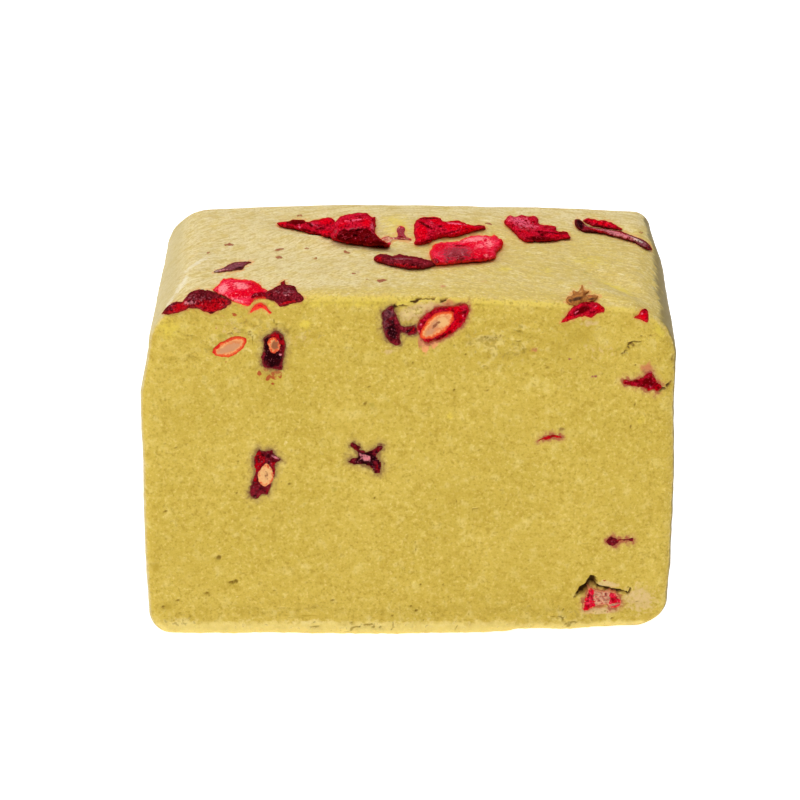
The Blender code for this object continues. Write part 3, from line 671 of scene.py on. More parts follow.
CUT_FRUIT = (
    cut(
        "fruit_cut_centre", "red_fruit",
        outline=(
            (-1.75, -0.3), (-1.5, -0.9), (-1.1, -1.4), (-0.45, -1.25), (0.25, -1), (0.95, -0.5),
            (1.45, 0.1), (1.75, 0.95), (1.6, 1.4), (1.05, 1.4), (0.65, 1.3), (0, 1.3), (-0.65, 1.1),
            (-1.35, 0.55), (-1.65, 0.1),
        ),
        patches=dict(
            pale=[
                (1.3, 0.6, 0.12, 0.12, 0, 0.8), (-1.45, -0.05, 0.14, 0.14, 0, 0.6),
                (-1.6, -0.5, 0.15, 0.12, 0, 0.8),
            ],
            dust=[(1.4, 0.95, 0.28, 0.45, -10, 0.6), (0.95, -0.15, 0.25, 0.4, -40, 0.6)],
            dark=[
                (-0.15, -0.95, 0.85, 0.14, 35, 1), (-1.35, -0.5, 0.22, 0.4, 0, 0.8),
                (0, 1.12, 0.6, 0.12, 12, 0.8), (1.1, 1.33, 0.5, 0.07, 0, 0.9),
                (1.45, 0.9, 0.3, 0.5, -10, 0.6),
            ],
        ),
        zones=(
            Zone("bright", (
                (0.55, 1.25), (0.25, 1), (0.95, 0.6), (0.55, -0.1), (-0.1, -0.75), (0.5, -0.65), (1.1, 0),
                (1.3, 0.7), (1.1, 1.2),
            ), 1, 0.12),
        ),
    ),
    cut(
        "fruit_cut_skin", "dark_fruit", shift=(0.26, 0.03), stain="dark",
        outline=(
            (-1.2, 0.5), (-1.1, -0.25), (-0.85, -0.95), (-0.35, -1.4), (0.1, -1.35), (0.15, -0.6),
            (0.65, -0.75), (1.2, -0.6), (1.05, 0), (0.25, 0), (-0.05, 0.5), (-0.25, 1.1), (-0.55, 1.4),
            (-1.1, 1),
        ),
        patches=dict(
            bright=[(0.85, -0.3, 0.35, 0.25, 0, 0.8), (-0.3, 0.05, 0.2, 0.2, 0, 0.4)],
            pale=[(0.45, -0.62, 0.16, 0.07, 0, 0.9)],
            dust=[
                (-0.7, 0.9, 0.5, 0.5, 0, 1.1), (-0.9, 0.1, 0.25, 0.9, 0, 0.9),
                (0.25, -0.1, 0.3, 0.15, 0, 0.7),
            ],
            dark=[(-0.45, -0.4, 0.4, 0.8, 0, 1)],
        ),
    ),
    cut(
        "fruit_cut_upper_left", "dark_fruit", stain="dark",
        outline=(
            (-0.25, 1.1), (-0.7, 0.75), (-0.7, 0.05), (-0.85, -0.6), (-0.75, -1.2), (-0.05, -1.4),
            (0.55, -1.35), (0.7, -0.75), (0.85, 0.05), (0.8, 0.6), (0.55, 1.2), (0.15, 1.4),
        ),
        patches=dict(
            bright=[(0.68, 0.05, 0.1, 0.5, 0, 0.7), (0.35, -0.9, 0.2, 0.2, 0, 0.4)],
            pale=[(0.45, -0.35, 0.12, 0.1, 0, 1)],
            dark=[(-0.05, -0.65, 0.65, 0.6, 0, 1.3), (-0.55, 0.4, 0.35, 0.7, 0, 1.2)],
        ),
        zones=(
            Zone("bright", (
                (0, 1.25), (-0.2, 0.95), (0.3, 0.75), (0.5, 0.3), (0.75, 0.3), (0.7, 0.8), (0.4, 1.2),
            ), 1, 0.1),
        ),
    ),
    cut(
        "fruit_cut_right", "red_fruit", shift=(0.08, -0.09), rise=0.05, beading=0.05, soaked=0.55,
        outline=(
            (-1.2, -0.15), (-0.55, -0.3), (0.05, -0.45), (0.35, -0.65), (0.8, -0.55), (0.95, -0.8),
            (1.2, -0.5), (1.35, -0.25), (1.05, 0.1), (0.9, 0.35), (0.65, 0.8), (0.45, 0.8), (0.2, 0.65),
            (0, 0.45), (-0.55, 0.3), (-0.7, 0.2), (-1.1, 0.3), (-1.35, 0.2),
        ),
        patches=dict(
            bright=[(1.05, -0.35, 0.3, 0.25, 0, 1), (0.35, -0.5, 0.3, 0.14, 0, 1)],
            pale=[
                (0.5, 0.72, 0.22, 0.14, 0, 0.9), (-1.05, 0.08, 0.2, 0.07, 0, 0.8),
                (-0.55, 0, 0.22, 0.06, -10, 0.6), (0.55, -0.3, 0.08, 0.08, 0, 0.7),
            ],
            dust=[(0.35, 0.08, 0.14, 0.1, 0, 0.9)],
            dark=[(0.35, 0.15, 0.5, 0.28, 20, 1), (-0.5, 0.12, 0.5, 0.16, -5, 0.9)],
        ),
    ),
    cut(
        "fruit_cut_lower_left", "dark_fruit", stain="dark",
        outline=(
            (-0.85, 1.35), (-0.9, 0.7), (-0.8, 0.1), (-1, -0.7), (-1.15, -1.55), (-0.65, -1.85),
            (-0.25, -1.5), (0.15, -1.5), (0.45, -0.55), (0.7, 0.1), (0.75, 0.7), (1.15, 1), (0.7, 1.4),
            (0.5, 1.8), (-0.1, 1.7), (-0.45, 1.85),
        ),
        patches=dict(
            bright=[(-0.75, -0.35, 0.14, 0.5, 10, 0.8), (0.1, -1.3, 0.25, 0.2, 0, 0.5)],
            pale=[(0.62, 1.18, 0.3, 0.12, -15, 1)],
            dust=[(0.55, 1.35, 0.45, 0.22, -10, 0.9)],
            dark=[
                (-0.75, -1.4, 0.35, 0.35, 0, 0.2), (0.2, 1.3, 0.25, 0.3, 0, 0.9),
                (0.95, 0.85, 0.2, 0.14, 0, 0.8),
            ],
        ),
        zones=(
            Zone("bright", (
                (-0.8, 1.3), (-0.85, 0.7), (-0.75, 0.1), (-0.5, 0.2), (-0.25, 0.55), (-0.05, 0.9),
                (-0.1, 1.3), (-0.4, 1.6),
            ), 1, 0.12),
            Zone("bright", (
                (0.35, 0.8), (0.75, 0.75), (0.65, 0.1), (0.45, -0.4), (0.3, -0.3), (0.5, 0.2),
            ), 0.9, 0.1),
        ),
    ),
    cut(
        "fruit_cut_middle", "dark_fruit", shift=(0, -0.09), smear=0.45, soaked=0.55, stain="dark",
        outline=(
            (-0.66, 0.44), (-0.6, 0.12), (-1.1, 0.1), (-1.16, -0.32), (-0.45, -0.54), (0.2, -0.62),
            (0.55, -1.08), (1.02, -1.02), (1.15, -0.42), (0.84, 0.2), (1.2, 0.68), (1.04, 1.06),
            (0.55, 0.78), (0, 0.55), (-0.36, 0.84), (-0.86, 1.16), (-1.06, 0.84),
        ),
        patches=dict(
            bright=[
                (0.85, -0.65, 0.25, 0.3, 0, 0.8), (0.8, 0.6, 0.25, 0.2, 40, 0.6),
                (-0.65, 0.7, 0.25, 0.2, -40, 0.6), (-0.85, -0.15, 0.2, 0.12, 0, 0.5),
            ],
            # The pale patch and the whitish crust over it in the middle are a painted glint.
            pale=[(-0.02, 0.05, 0.36, 0.2, -30, 1.4)],
            crust=[(-0.05, 0.06, 0.26, 0.14, -30, 1.5)],
            dark=[
                (0, 0, 0.9, 0.55, 0, 1.1), (0.2, 0.42, 0.5, 0.12, 0, 0.9), (0.4, -0.45, 0.3, 0.15, 0, 1),
            ],
        ),
    ),
    cut(
        "fruit_cut_sliver", "red_fruit",
        outline=(
            (-0.55, -0.2), (-0.15, -0.2), (0.2, -0.05), (0.65, -0.1), (0.85, 0.05), (0.6, 0.2),
            (0.1, 0.25), (-0.3, 0.15), (-0.65, -0.05), (-0.85, -0.25),
        ),
        patches=dict(bright=[(0, 0, 0.8, 0.3, 0, 1)]),
    ),
    cut(
        "fruit_cut_drop", "dark_fruit",
        outline=(
            (-0.75, -0.25), (-0.45, -0.4), (-0.1, -0.25), (0.2, -0.05), (0.6, -0.06), (0.98, -0.04),
            (0.98, 0.28), (0.6, 0.24), (0.2, 0.2), (-0.3, 0.25), (-0.45, 0.4), (-0.65, 0.25), (-0.9, 0),
        ),
        patches=dict(bright=[(0.1, 0.05, 0.4, 0.2, 0, 0.6), (-0.6, 0, 0.2, 0.3, 0, 0.3)]),
    ),
    cut(
        "fruit_cut_low", "pink_fruit", rise=0.08, ridges=0.05, beading=0.05,
        outline=(
            (-0.95, -0.9), (-0.45, -0.6), (0.3, -0.45), (0.55, -0.75), (1.2, -0.6), (1.35, -0.2),
            (1.05, 0.4), (0.55, 0.64), (-0.1, 0.64), (-0.85, 0.85), (-1.15, 0.15), (-1.35, -0.5),
            (-1.25, -0.85),
        ),
        patches=dict(
            bright=[
                (-1.1, -0.65, 0.3, 0.25, 0, 1), (0.75, 0.15, 0.35, 0.3, 0, 0.5),
                (0.9, -0.2, 0.35, 0.25, 0, 0.8),
            ],
            crust=[(0.95, 0.3, 0.25, 0.2, 0, 0.7), (0.4, -0.45, 1, 0.16, 8, 1)],
            dark=[
                (-0.95, 0.3, 0.2, 0.4, 0, 0.7), (-0.6, 0.8, 0.4, 0.1, 0, 0.7),
                (0.4, 0.55, 0.2, 0.1, 0, 0.5),
            ],
        ),
        zones=(
            Zone("crust", (
                (-0.5, 0.85), (-0.55, -0.3), (-0.1, -0.5), (0.5, -0.4), (0.55, 0.1), (0.45, 0.75),
            ), 1, 0.2),
        ),
    ),
    cut(
        "seed_left", "fruit_seed", ridges=0.015, soaked=0, stain="none",
        outline=(
            (-0.9, -0.65), (0, -0.75), (0.7, -0.4), (1.15, 0.15), (1.15, 0.65), (0.45, 0.75),
            (-0.45, 0.4), (-1.15, -0.3),
        ),
        patches=dict(
            bright=[
                (-0.8, 0.02, 0.25, 0.2, 0, 1.2), (-0.98, -0.35, 0.2, 0.25, 0, 0.8),
                (0.1, 0.45, 0.7, 0.1, 20, 0.6), (1.05, 0.5, 0.14, 0.25, 0, 0.7),
            ],
            pale=[(-0.5, -0.05, 0.3, 0.1, 20, 0.7)],
            crust=[(0, -0.12, 0.8, 0.24, 22, 1.5)],
        ),
    ),
)

# Seeds cut through with the fruit that holds them.
HELD_SEEDS = (
    held_seed(
        "seed_in_centre", "fruit_cut_centre", shift=(-0.34, -0.07),
        outline=(
            (0.5, 1), (-0.1, 0.85), (-0.7, 0.35), (-1.12, -0.3), (-1.12, -0.88), (-0.5, -1), (0.2, -0.68),
            (0.75, -0.15), (1.08, 0.45), (1, 0.92),
        ),
        patches=dict(
            pale=[(0.35, 0.25, 0.45, 0.4, 45, 1.2)],
            crust=[(-0.5, -0.45, 0.5, 0.28, 45, 0.9), (-0.08, 0.08, 0.5, 0.3, 40, 1)],
            dark=[(-0.16, 0, 0.3, 0.12, 45, 1.1), (0.06, 0.2, 0.22, 0.1, 10, 1)],
        ),
    ),
    held_seed(
        "seed_in_upper_left", "fruit_cut_upper_left", shift=(0.07, 0.29),
        outline=((-0.45, -0.05), (-0.15, -0.6), (0.25, -0.4), (0.42, -0.05), (0.1, 0.6), (-0.4, 0.45)),
        patches=dict(pale=[(0, 0, 0.6, 0.7, 0, 0.6)], dark=[(0.02, 0.02, 0.24, 0.36, 0, 1.2)]),
    ),
    held_seed(
        "seed_in_lower_left", "fruit_cut_lower_left", shift=(-0.03, -0.07),
        outline=(
            (-0.3, 0.5), (-0.55, 0), (-0.45, -0.6), (0, -0.85), (0.5, -0.45), (0.55, 0.15), (0.35, 0.6),
            (0.05, 0.85),
        ),
        patches=dict(
            pale=[(0, 0, 0.75, 1.05, 0, 0.85)],
            crust=[(0.02, 0, 0.42, 0.62, 0, 1.2)],
            dark=[(0.05, -0.05, 0.18, 0.4, 0, 0.75)],
        ),
    ),
)

# The same on the back cut, seen from the front through the block.
BACK_FRUIT = (
    cut(
        "fruit_rear_high", "red_fruit",
        outline=(
            (1.45, 0.1), (0.7, 0.75), (0, 0.85), (-1, 0.65), (-1.45, -0.4), (-0.5, -0.75), (0.4, -0.7),
            (1.1, -0.8),
        ),
        patches=dict(bright=[(0.8, -0.3, 0.4, 0.3, 0, 1)], dark=[(-0.3, 0, 0.7, 0.4, 0, 1)]),
    ),
    cut(
        "fruit_rear_left", "dark_fruit", stain="dark",
        outline=((0.9, 0.1), (0.5, 0.9), (-0.3, 0.6), (-1, 0.2), (-0.6, -0.7), (0.5, -1)),
        patches=dict(bright=[(0.3, 0.5, 0.3, 0.3, 0, 1)]),
    ),
    cut(
        "fruit_rear_middle", "red_fruit",
        outline=((1.2, 0), (0.5, 0.6), (-0.3, 0.5), (-1.15, 0.1), (-0.4, -0.65), (0.4, -0.6)),
        patches=dict(bright=[(0.4, 0, 0.5, 0.3, 0, 1)]),
    ),
    cut(
        "fruit_rear_low", "red_fruit",
        outline=((0.9, -0.25), (0.5, 0.4), (-0.4, 0.5), (-0.9, 0.25), (-0.5, -0.35), (0.4, -0.5)),
        patches=dict(dark=[(0.2, 0, 0.5, 0.3, 0, 0.7)]),
    ),
)

# Marks in the dough, by kind, on the front: x and z.
FRONT_MARKS = dict(
    rust=[
        (-11.4, 23.1, 0.26, 0.21, 0, 1.53), (-12.4, 22.5, 0.2, 0.17, 0, 1.36),
        (-12.8, 22.1, 0.2, 0.17, 0, 1.19), (-12.2, 23, 0.33, 0.14, 0, 1.02),
        (-11.7, 20.2, 0.26, 0.18, 20, 1.53), (-12.1, 19.8, 0.12, 0.13, 0, 1.55),
        (-12.1, 18.6, 0.08, 0.21, 0, 0.85), (-12, 18.1, 0.1, 0.08, 0, 1.36),
        (-12.1, 19.3, 0.08, 0.14, 0, 0.68), (-15.7, 20, 0.26, 0.18, -30, 1.36),
        (-9.1, 18.9, 0.75, 0.55, 0, 1.35), (-9.85, 18.91, 0.17, 0.2, 0, 2.2),
        (-9.47, 19.14, 0.17, 0.14, 20, 2.2), (-9.35, 18.55, 0.18, 0.15, 0, 2.3),
        (-9.02, 18.83, 0.15, 0.17, -30, 2.4), (-8.96, 18.28, 0.17, 0.17, 0, 2.3),
        (-8.67, 19.1, 0.16, 0.13, 0, 2), (-8.45, 18.74, 0.15, 0.13, 30, 1.9),
        (-9.18, 19.28, 0.2, 0.12, 0, 2.2), (4.5, 23.1, 0.13, 0.12, 0, 1.53),
        (-1.5, 20.6, 0.33, 0.14, 0, 0.85), (3.2, 20.3, 0.2, 0.28, 0, 0.59),
        (12.4, 1.4, 0.2, 0.15, 0, 1.36), (13.5, 1.7, 0.14, 0.3, 0, 1.36), (-9, 14.9, 0.12, 0.13, 0, 1.19),
        (-8.24, 5.87, 0.27, 0.07, 25, 1.55), (-8.9, 15.2, 0.17, 0.11, 0, 1.02),
        (13.2, 4.1, 0.12, 0.1, 0, 1.36),
    ],
    olive=[
        (-12.3, 21.6, 0.33, 0.17, 0, 0.9), (-10.9, 22, 0.26, 0.14, 0, 0.8),
        (13.8, 20.7, 0.33, 0.14, 25, 0.8), (-2.7, 12.3, 0.2, 0.22, 0, 1),
        (-3.2, 13.7, 0.27, 0.11, 0, 0.6), (-5, 10.7, 0.2, 0.18, 0, 0.9), (-6.1, 13.1, 0.27, 0.11, 0, 0.6),
        (13.5, 5.3, 0.13, 0.11, 0, 0.9), (-2.5, 16.7, 0.33, 0.28, 0, 0.8),
    ],
    gold=[
        (-6.8, 22.4, 0.39, 0.35, 0, 1), (2.7, 16, 0.26, 0.28, 0, 0.8), (15.3, 15.7, 0.33, 0.36, 0, 0.7),
        (-15.7, 22.1, 1.31, 0.97, 0, 0.6), (16.4, 22.4, 0.52, 1.39, 0, 0.7), (-1, 23.9, 17, 0.5, 0, 0.5),
    ],
    tan=[
        (1, 23.4, 1.7, 0.62, 8, 1), (0, 23.1, 0.79, 0.55, 0, 0.9), (-1.4, 20.5, 0.53, 0.28, 0, 0.6),
        (11.8, 22.5, 0.79, 0.28, 0, 0.6), (13.4, 3.8, 0.88, 0.3, -5, 0.8),
        (15.6, 2.7, 1.49, 1.33, 0, 0.65), (13.1, 1.85, 1.25, 0.26, 3, 1.3),
        (12.5, 20.7, 1.97, 0.98, 0, 0.35), (-7.2, 21.4, 1.31, 0.7, 0, 0.4),
        (-11.7, 22.1, 1.18, 0.83, 0, 0.45),
    ],
    blush=[
        (2.6, 23.9, 0.59, 0.28, 0, 0.8), (1.4, 23.8, 1.31, 0.35, 5, 0.3),
        (0.72, 21.2, 0.14, 0.45, 0, 1.4), (1.38, 21.3, 0.12, 0.45, -8, 1.4),
        (15.65, 19.35, 0.5, 0.55, 20, 0.95), (8.2, 20.6, 0.2, 0.28, 0, 0.95),
    ],
    peach=[
        (1.05, 21.05, 0.26, 0.6, 0, 1.7), (1.7, 21.2, 0.22, 0.5, -12, 1.6),
        (-10.9, 22.75, 1.6, 0.3, 5, 0.3),
    ],
    ochre=[
        (11.2, 21.6, 1.9, 0.9, 0, 0.55), (9.8, 20.8, 1.3, 1, 0, 0.5), (11.7, 3.4, 0.54, 0.59, 40, 0.8),
        (12.9, 1.5, 0.81, 0.22, 0, 0.6), (-7.2, 1.45, 1.4, 0.1, 3, 0.9), (-16.4, 2.2, 0.6, 0.5, 0, 0.75),
        (-17.1, 5.1, 0.45, 0.5, 0, 0.8), (-13.6, 3.1, 0.45, 0.3, -20, 0.6),
    ],
    plum=[
        (12.3, 18.8, 0.12, 0.11, 0, 1), (10.6, 20, 0.12, 0.07, 0, 0.7), (15.9, 18.7, 1.05, 0.7, 0, 0.35),
    ],
    pale=[
        (-8.2, 14.1, 0.15, 0.14, 0, 1), (-2, 0.85, 15, 0.45, 0, 0.6), (-6.5, 1.05, 2.2, 0.16, 0, 1),
        (-15.4, 1, 1.2, 0.5, 0, 0.8), (-13.52, 6.61, 0.12, 0.12, 0, 0.9),
        (-12.35, 6.87, 0.1, 0.1, 0, 0.8), (-11.61, 2.88, 0.2, 0.1, 0, 0.8),
        (-10.9, 20.6, 1.6, 0.35, -20, 0.55), (-9, 21.4, 0.9, 0.3, 10, 0.6),
        (5.5, 21.9, 1.8, 0.35, 5, 0.5), (4.4, 20.4, 1.6, 0.3, 30, 0.4),
    ],
    wine=[(12.1, 18.75, 0.1, 0.1, 0, 1)],
)

# Marks on the top: x and y.
TOP_MARKS = dict(
    wine=[
        (-7.7, 8.1, 0.27, 0.28, 0, 0.8), (-12.4, 1.1, 0.35, 0.42, 0, 0.9),
        (-8.9, -0.6, 0.4, 0.31, 8, 0.9), (-8.8, -2.3, 0.26, 0.46, 0, 0.8),
        (-6.9, -0.6, 0.22, 0.26, 0, 0.7), (-4.2, -1.7, 0.26, 0.38, -25, 0.9),
        (-3.5, -6.2, 0.3, 0.35, 0, 0.9), (-2.8, -7.5, 0.17, 0.24, 0, 0.6),
        (-6.3, -2.7, 0.13, 0.25, 0, 0.5), (-13.7, -1, 0.26, 0.38, 30, 0.5),
        (5.6, 6.4, 0.27, 0.38, -20, 0.6), (-1.8, -7.7, 0.43, 0.38, 5, 0.6),
        (9.4, 2.2, 0.13, 0.31, 0, 0.5), (10.3, -1, 0.26, 0.31, 0, 0.4), (16.2, 5.6, 0.18, 0.28, 0, 0.4),
        (-4.9, -5.9, 0.43, 0.49, 0, 0.3),
    ],
    gold=[
        (9.3, -4.4, 0.4, 0.52, 0, 0.9), (6.4, -4.8, 0.67, 0.62, 0, 0.7), (3.1, -5.2, 0.54, 0.41, 0, 0.5),
        (12.3, -1.7, 2, 1.9, -10, 0.5), (-0.8, 5.8, 1.6, 2.6, 0, 0.6), (14, -6.4, 2.2, 0.5, -50, 0.8),
    ],
    olive=[(11.9, -3.8, 0.34, 0.52, 0, 0.7)],
    blush=[
        (12, -6.6, 0.33, 0.31, -8, 0.7), (5, -7.5, 0.4, 0.41, -6, 0.6), (2.2, -8.7, 0.26, 0.32, -20, 0.8),
        (7.7, -7.7, 0.33, 0.3, -10, 0.5),
    ],
    # The sheen marks are painted highlights.
    sheen=[
        (-15.1, -7.2, 0.35, 1.6, -12, 0.9), (-14.3, -3.4, 0.28, 2.2, -28, 0.9),
        (-12.5, 0.2, 0.25, 2, -30, 0.5), (-15.8, -9.3, 0.3, 1, -10, 0.8), (-11, -8, 0.5, 0.25, 60, 0.4),
        (13.2, -8.2, 2.2, 0.6, -30, 0.5),
    ],
)


# The block of dough.


def graded(stretches):
    """Places from -1 to 1, by stretches that have an end and a spacing of their own."""
    first, last = stretches[0][0], stretches[-1][0]
    places = [[first]]
    for (start, _), (end, spacing) in zip(stretches[:-1], stretches[1:]):
        places.append(np.linspace(start, end, round((end - start) / spacing) + 1)[1:])
    return (np.concatenate(places) - first) / (last - first) * 2.0 - 1.0


def box_skin(across, along, up):
    """The six sides of a cube as one closed grid of quads, with corners shared between sides."""
    counts = (len(across), len(along), len(up))
    index = np.indices(counts)
    last = np.array(counts).reshape(3, 1, 1, 1) - 1
    outside = ((index == 0) | (index == last)).any(axis=0)
    number = np.full(counts, -1)
    number[outside] = np.arange(outside.sum())
    places = [values[i][outside] for values, i in zip((across, along, up), index)]
    quads = []
    for axis in range(3):
        for side, flip in ((0, axis != 1), (-1, axis == 1)):
            sheet = np.take(number, side, axis=axis)
            loop = (sheet[:-1, :-1], sheet[1:, :-1], sheet[1:, 1:], sheet[:-1, 1:])
            corners = loop[::-1] if flip else loop
            quads.append(np.stack([c.ravel() for c in corners], axis=1))
    return np.stack(places, axis=1), np.concatenate(quads)


def shoulder_radius(right, back):
    """Radius of the top's long edges; right and back are shares from 0 to 1."""
    left_shoulder = SHOULDER_FRONT_LEFT + (SHOULDER_BACK_LEFT - SHOULDER_FRONT_LEFT) * back
    right_shoulder = SHOULDER_FRONT_RIGHT + (SHOULDER_BACK_RIGHT - SHOULDER_FRONT_RIGHT) * back
    return left_shoulder + (right_shoulder - left_shoulder) * right


def corner_radius(across, along, up):
    """Radius of the nearest long edge: foot below, shoulder above, changing from front to back."""
    right = smooth_step(across, -SIDES_MEET, SIDES_MEET)
    shoulder = shoulder_radius(right, (along + 1.0) / 2.0)
    foot = FOOT_LEFT + (FOOT_RIGHT - FOOT_LEFT) * right
    return foot + (shoulder - foot) * smooth_step(up, -FOOT_TO_SHOULDER, FOOT_TO_SHOULDER)


def section_rim(across, up, radius):
    """The section's rim: a rectangle whose corner is an arc of the given radius."""
    x = across * WIDTH / 2
    z = up * HEIGHT / 2
    inner_x = np.clip(x, radius - WIDTH / 2, WIDTH / 2 - radius)
    inner_z = np.clip(z, radius - HEIGHT / 2, HEIGHT / 2 - radius)
    away = np.maximum(np.hypot(x - inner_x, z - inner_z), TINY)
    return inner_x + (x - inner_x) * radius / away, inner_z + (z - inner_z) * radius / away


def top_height(x, y):
    """Height of the top over the base, away from its rounded edges."""
    side = np.abs(x - DOME_AT) / (WIDTH / 2)
    back = np.clip((y - FACE) / LENGTH, 0.0, 1.0)
    right_fall = DOME_RIGHT + (DOME_RIGHT_BACK - DOME_RIGHT) * back
    fall = np.where(x < DOME_AT, DOME_LEFT, right_fall)
    border = smooth_step(WIDTH / 2 - np.abs(x), *SHOULDER_FADE)
    border *= smooth_step(LENGTH / 2 - np.abs(y), *CUT_FADE)
    forms = oval_sum(x, y, TOP_FORMS)
    return HEIGHT - fall * side**2 - BACK_DROP * back**BACK_DROP_POWER + forms * border


# How far the sides stand out from the plain form: height and distance.
LEFT_SWELL = (
    (0.0, 0.22), (3.0, 0.25), (7.0, 0.34), (12.0, 0.27), (15.0, 0.30), (17.5, 0.32), (19.0, 0.05),
    (20.5, -0.22), (24.4, -0.20),
)
RIGHT_SWELL = ((0.0, 0.08), (5.0, 0.16), (12.0, 0.20), (17.0, 0.10), (20.0, 0.20), (24.4, 0.20))
BACK_CORNER_CLIP = 0.45  # how much less the right side stands out at the back of the top
BASE_WAVE = 0.28
BASE_WAVE_AT = (8.4, FACE)
BASE_WAVE_RADII = (1.9, 3.0)
BASE_WAVE_FADE = 2.5
SIDES_FROM = (11.0, 16.5)  # where a side starts to move and where it moves in full
CLIP_ALONG = (2.0, 10.0)
CLIP_UP = (20.0, 23.0)


def side_swell(x, y, z):
    """How far each point moves along x, so that the sides swell and draw in with their height."""
    left = -np.interp(z, *zip(*LEFT_SWELL))
    clip = BACK_CORNER_CLIP * smooth_step(y, *CLIP_ALONG) * smooth_step(z, *CLIP_UP)
    right = np.interp(z, *zip(*RIGHT_SWELL)) - clip
    return np.where(x < 0.0, left, right) * smooth_step(np.abs(x), *SIDES_FROM)


def face_wave(x, z):
    """How far the cut face lies behind its foremost point."""
    return FACE_WAVE * (1.0 + np.sin(x * FACE_WAVE_TURN[0]) * np.cos(z * FACE_WAVE_TURN[1]))


def dough_form(places):
    """Carries the cube's skin to the block's.

    The cube's square section goes to the rounded outline in rings about the middle. Near a cut
    face the rings draw in along a quarter circle, which rounds the arris. Then the top, sides
    and faces get their waves.
    """
    across, along, up = places.T
    ring = np.maximum(np.abs(across), np.abs(up))
    safe = np.maximum(ring, TINY)
    radius = corner_radius(across / safe, along, up / safe)
    rim_x, rim_z = section_rim(across / safe, up / safe, radius)
    inward = (1.0 - ring) * HEIGHT / 2
    y = along * LENGTH / 2
    core_y = np.clip(y, CUT_EDGE - LENGTH / 2, LENGTH / 2 - CUT_EDGE)
    core_in = np.maximum(inward, CUT_EDGE)
    away = np.hypot(y - core_y, inward - core_in)
    rounded = away > TINY
    reach = CUT_EDGE / np.maximum(away, TINY)
    y = np.where(rounded, core_y + (y - core_y) * reach, y)
    inward = np.where(rounded, core_in + (inward - core_in) * reach, inward)
    share = 1.0 - inward / (HEIGHT / 2)
    x = rim_x * share
    z = HEIGHT / 2 + rim_z * share
    lift = smooth_step(z, HEIGHT * TOP_MOVES_FROM, HEIGHT)
    z = z + (top_height(x, y) - HEIGHT) * lift
    sprung = smooth_step(x, FOOT_LIFT_FROM[0], WIDTH / 2)
    sprung *= smooth_step(-y, FOOT_LIFT_FROM[1], LENGTH / 2)
    z = z + FOOT_LIFT * sprung * (1.0 - smooth_step(z, 0.0, FOOT_LIFT_FADE))
    middle = np.sin(np.clip(z / HEIGHT, 0.0, 1.0) * math.pi)
    x = x * (1.0 + SIDE_BULGE * (middle - 1.0) / (WIDTH / 2))
    x = x + side_swell(x, y, z)
    wave = BASE_WAVE * bell(x, y, BASE_WAVE_AT, BASE_WAVE_RADII)
    z = z + wave * (1.0 - smooth_step(z, 0.0, BASE_WAVE_FADE))
    face = smooth_step(np.abs(along), FACE_WAVE_FROM, 1.0) * np.sign(along)
    y = y - face * face_wave(x, z)
    return np.stack([x, y, z], axis=1)


# The same skin followed as a line, for what lies on it.

FACE_PART = 7.0  # how far down the front face the line starts
FACE_STEPS = 28
ARRIS_STEPS = 10
TOP_STEPS = 92
SLOPE_REACH = 3  # stations to each side over which the skin's slope is taken
ROUND_TO = 0.999  # share of a long edge's quarter circle that is followed


def skin_height(x, y):
    """Height of the skin over the base, with the rounded long edges."""
    back = np.clip((y - FACE) / LENGTH, 0.0, 1.0)
    right = smooth_step(x / (WIDTH / 2), -SIDES_MEET, SIDES_MEET)
    radius = shoulder_radius(right, back)
    past = np.clip(np.abs(x) - (WIDTH / 2 - radius), 0.0, ROUND_TO * radius)
    flat = HEIGHT - radius + np.sqrt(radius**2 - past**2)
    return flat + (top_height(x, y) - HEIGHT) * smooth_step(flat, HEIGHT * TOP_MOVES_FROM, HEIGHT)


def skin_sections(x):
    """For each x, the block's section from the front face over the arris to the back's edge."""
    x = x[:, None]
    edge = skin_height(x, np.full_like(x, FACE + CUT_EDGE))
    down = np.linspace(-FACE_PART, 0.0, FACE_STEPS)[None, :-1]
    turn = np.linspace(0.0, math.pi / 2, ARRIS_STEPS)[None, :-1]
    back = np.linspace(FACE + CUT_EDGE, LENGTH / 2 - CUT_EDGE, TOP_STEPS)[None, :]
    y_down = FACE + face_wave(x, edge - CUT_EDGE + down)
    y_turn = FACE + CUT_EDGE * (1.0 - np.cos(turn)) + 0.0 * x
    z_turn = edge - CUT_EDGE * (1.0 - np.sin(turn))
    y_top = back + 0.0 * x
    z_top = skin_height(x + 0.0 * back, y_top)
    y = np.concatenate([y_down, y_turn, y_top], axis=1)
    z = np.concatenate([edge - CUT_EDGE + down + 0.0 * x, z_turn, z_top], axis=1)
    return y, z


def lay_on_skin(x, heights):
    """Points of the skin that the view meets at x and at heights up its plane.

    The section at each x is followed from below, and the first place whose height in the view
    passes the one wanted is taken. Also gives the outward direction there as y and z.
    """
    y, z = skin_sections(x)
    seen = np.maximum.accumulate(view_height(y, z), axis=1)
    upper = np.clip((seen < heights[:, None]).sum(axis=1), 1, seen.shape[1] - 1)
    row = np.arange(len(x))
    step = np.maximum(seen[row, upper] - seen[row, upper - 1], TINY)
    share = np.clip((heights - seen[row, upper - 1]) / step, 0.0, 1.0)
    place_y = y[row, upper - 1] + share * (y[row, upper] - y[row, upper - 1])
    place_z = z[row, upper - 1] + share * (z[row, upper] - z[row, upper - 1])
    before = np.clip(upper - SLOPE_REACH, 0, seen.shape[1] - 1)
    after = np.clip(upper + SLOPE_REACH, 0, seen.shape[1] - 1)
    slope_y = y[row, after] - y[row, before]
    slope_z = z[row, after] - z[row, before]
    length = np.hypot(slope_y, slope_z)
    return place_y, place_z, -slope_z / length, slope_y / length


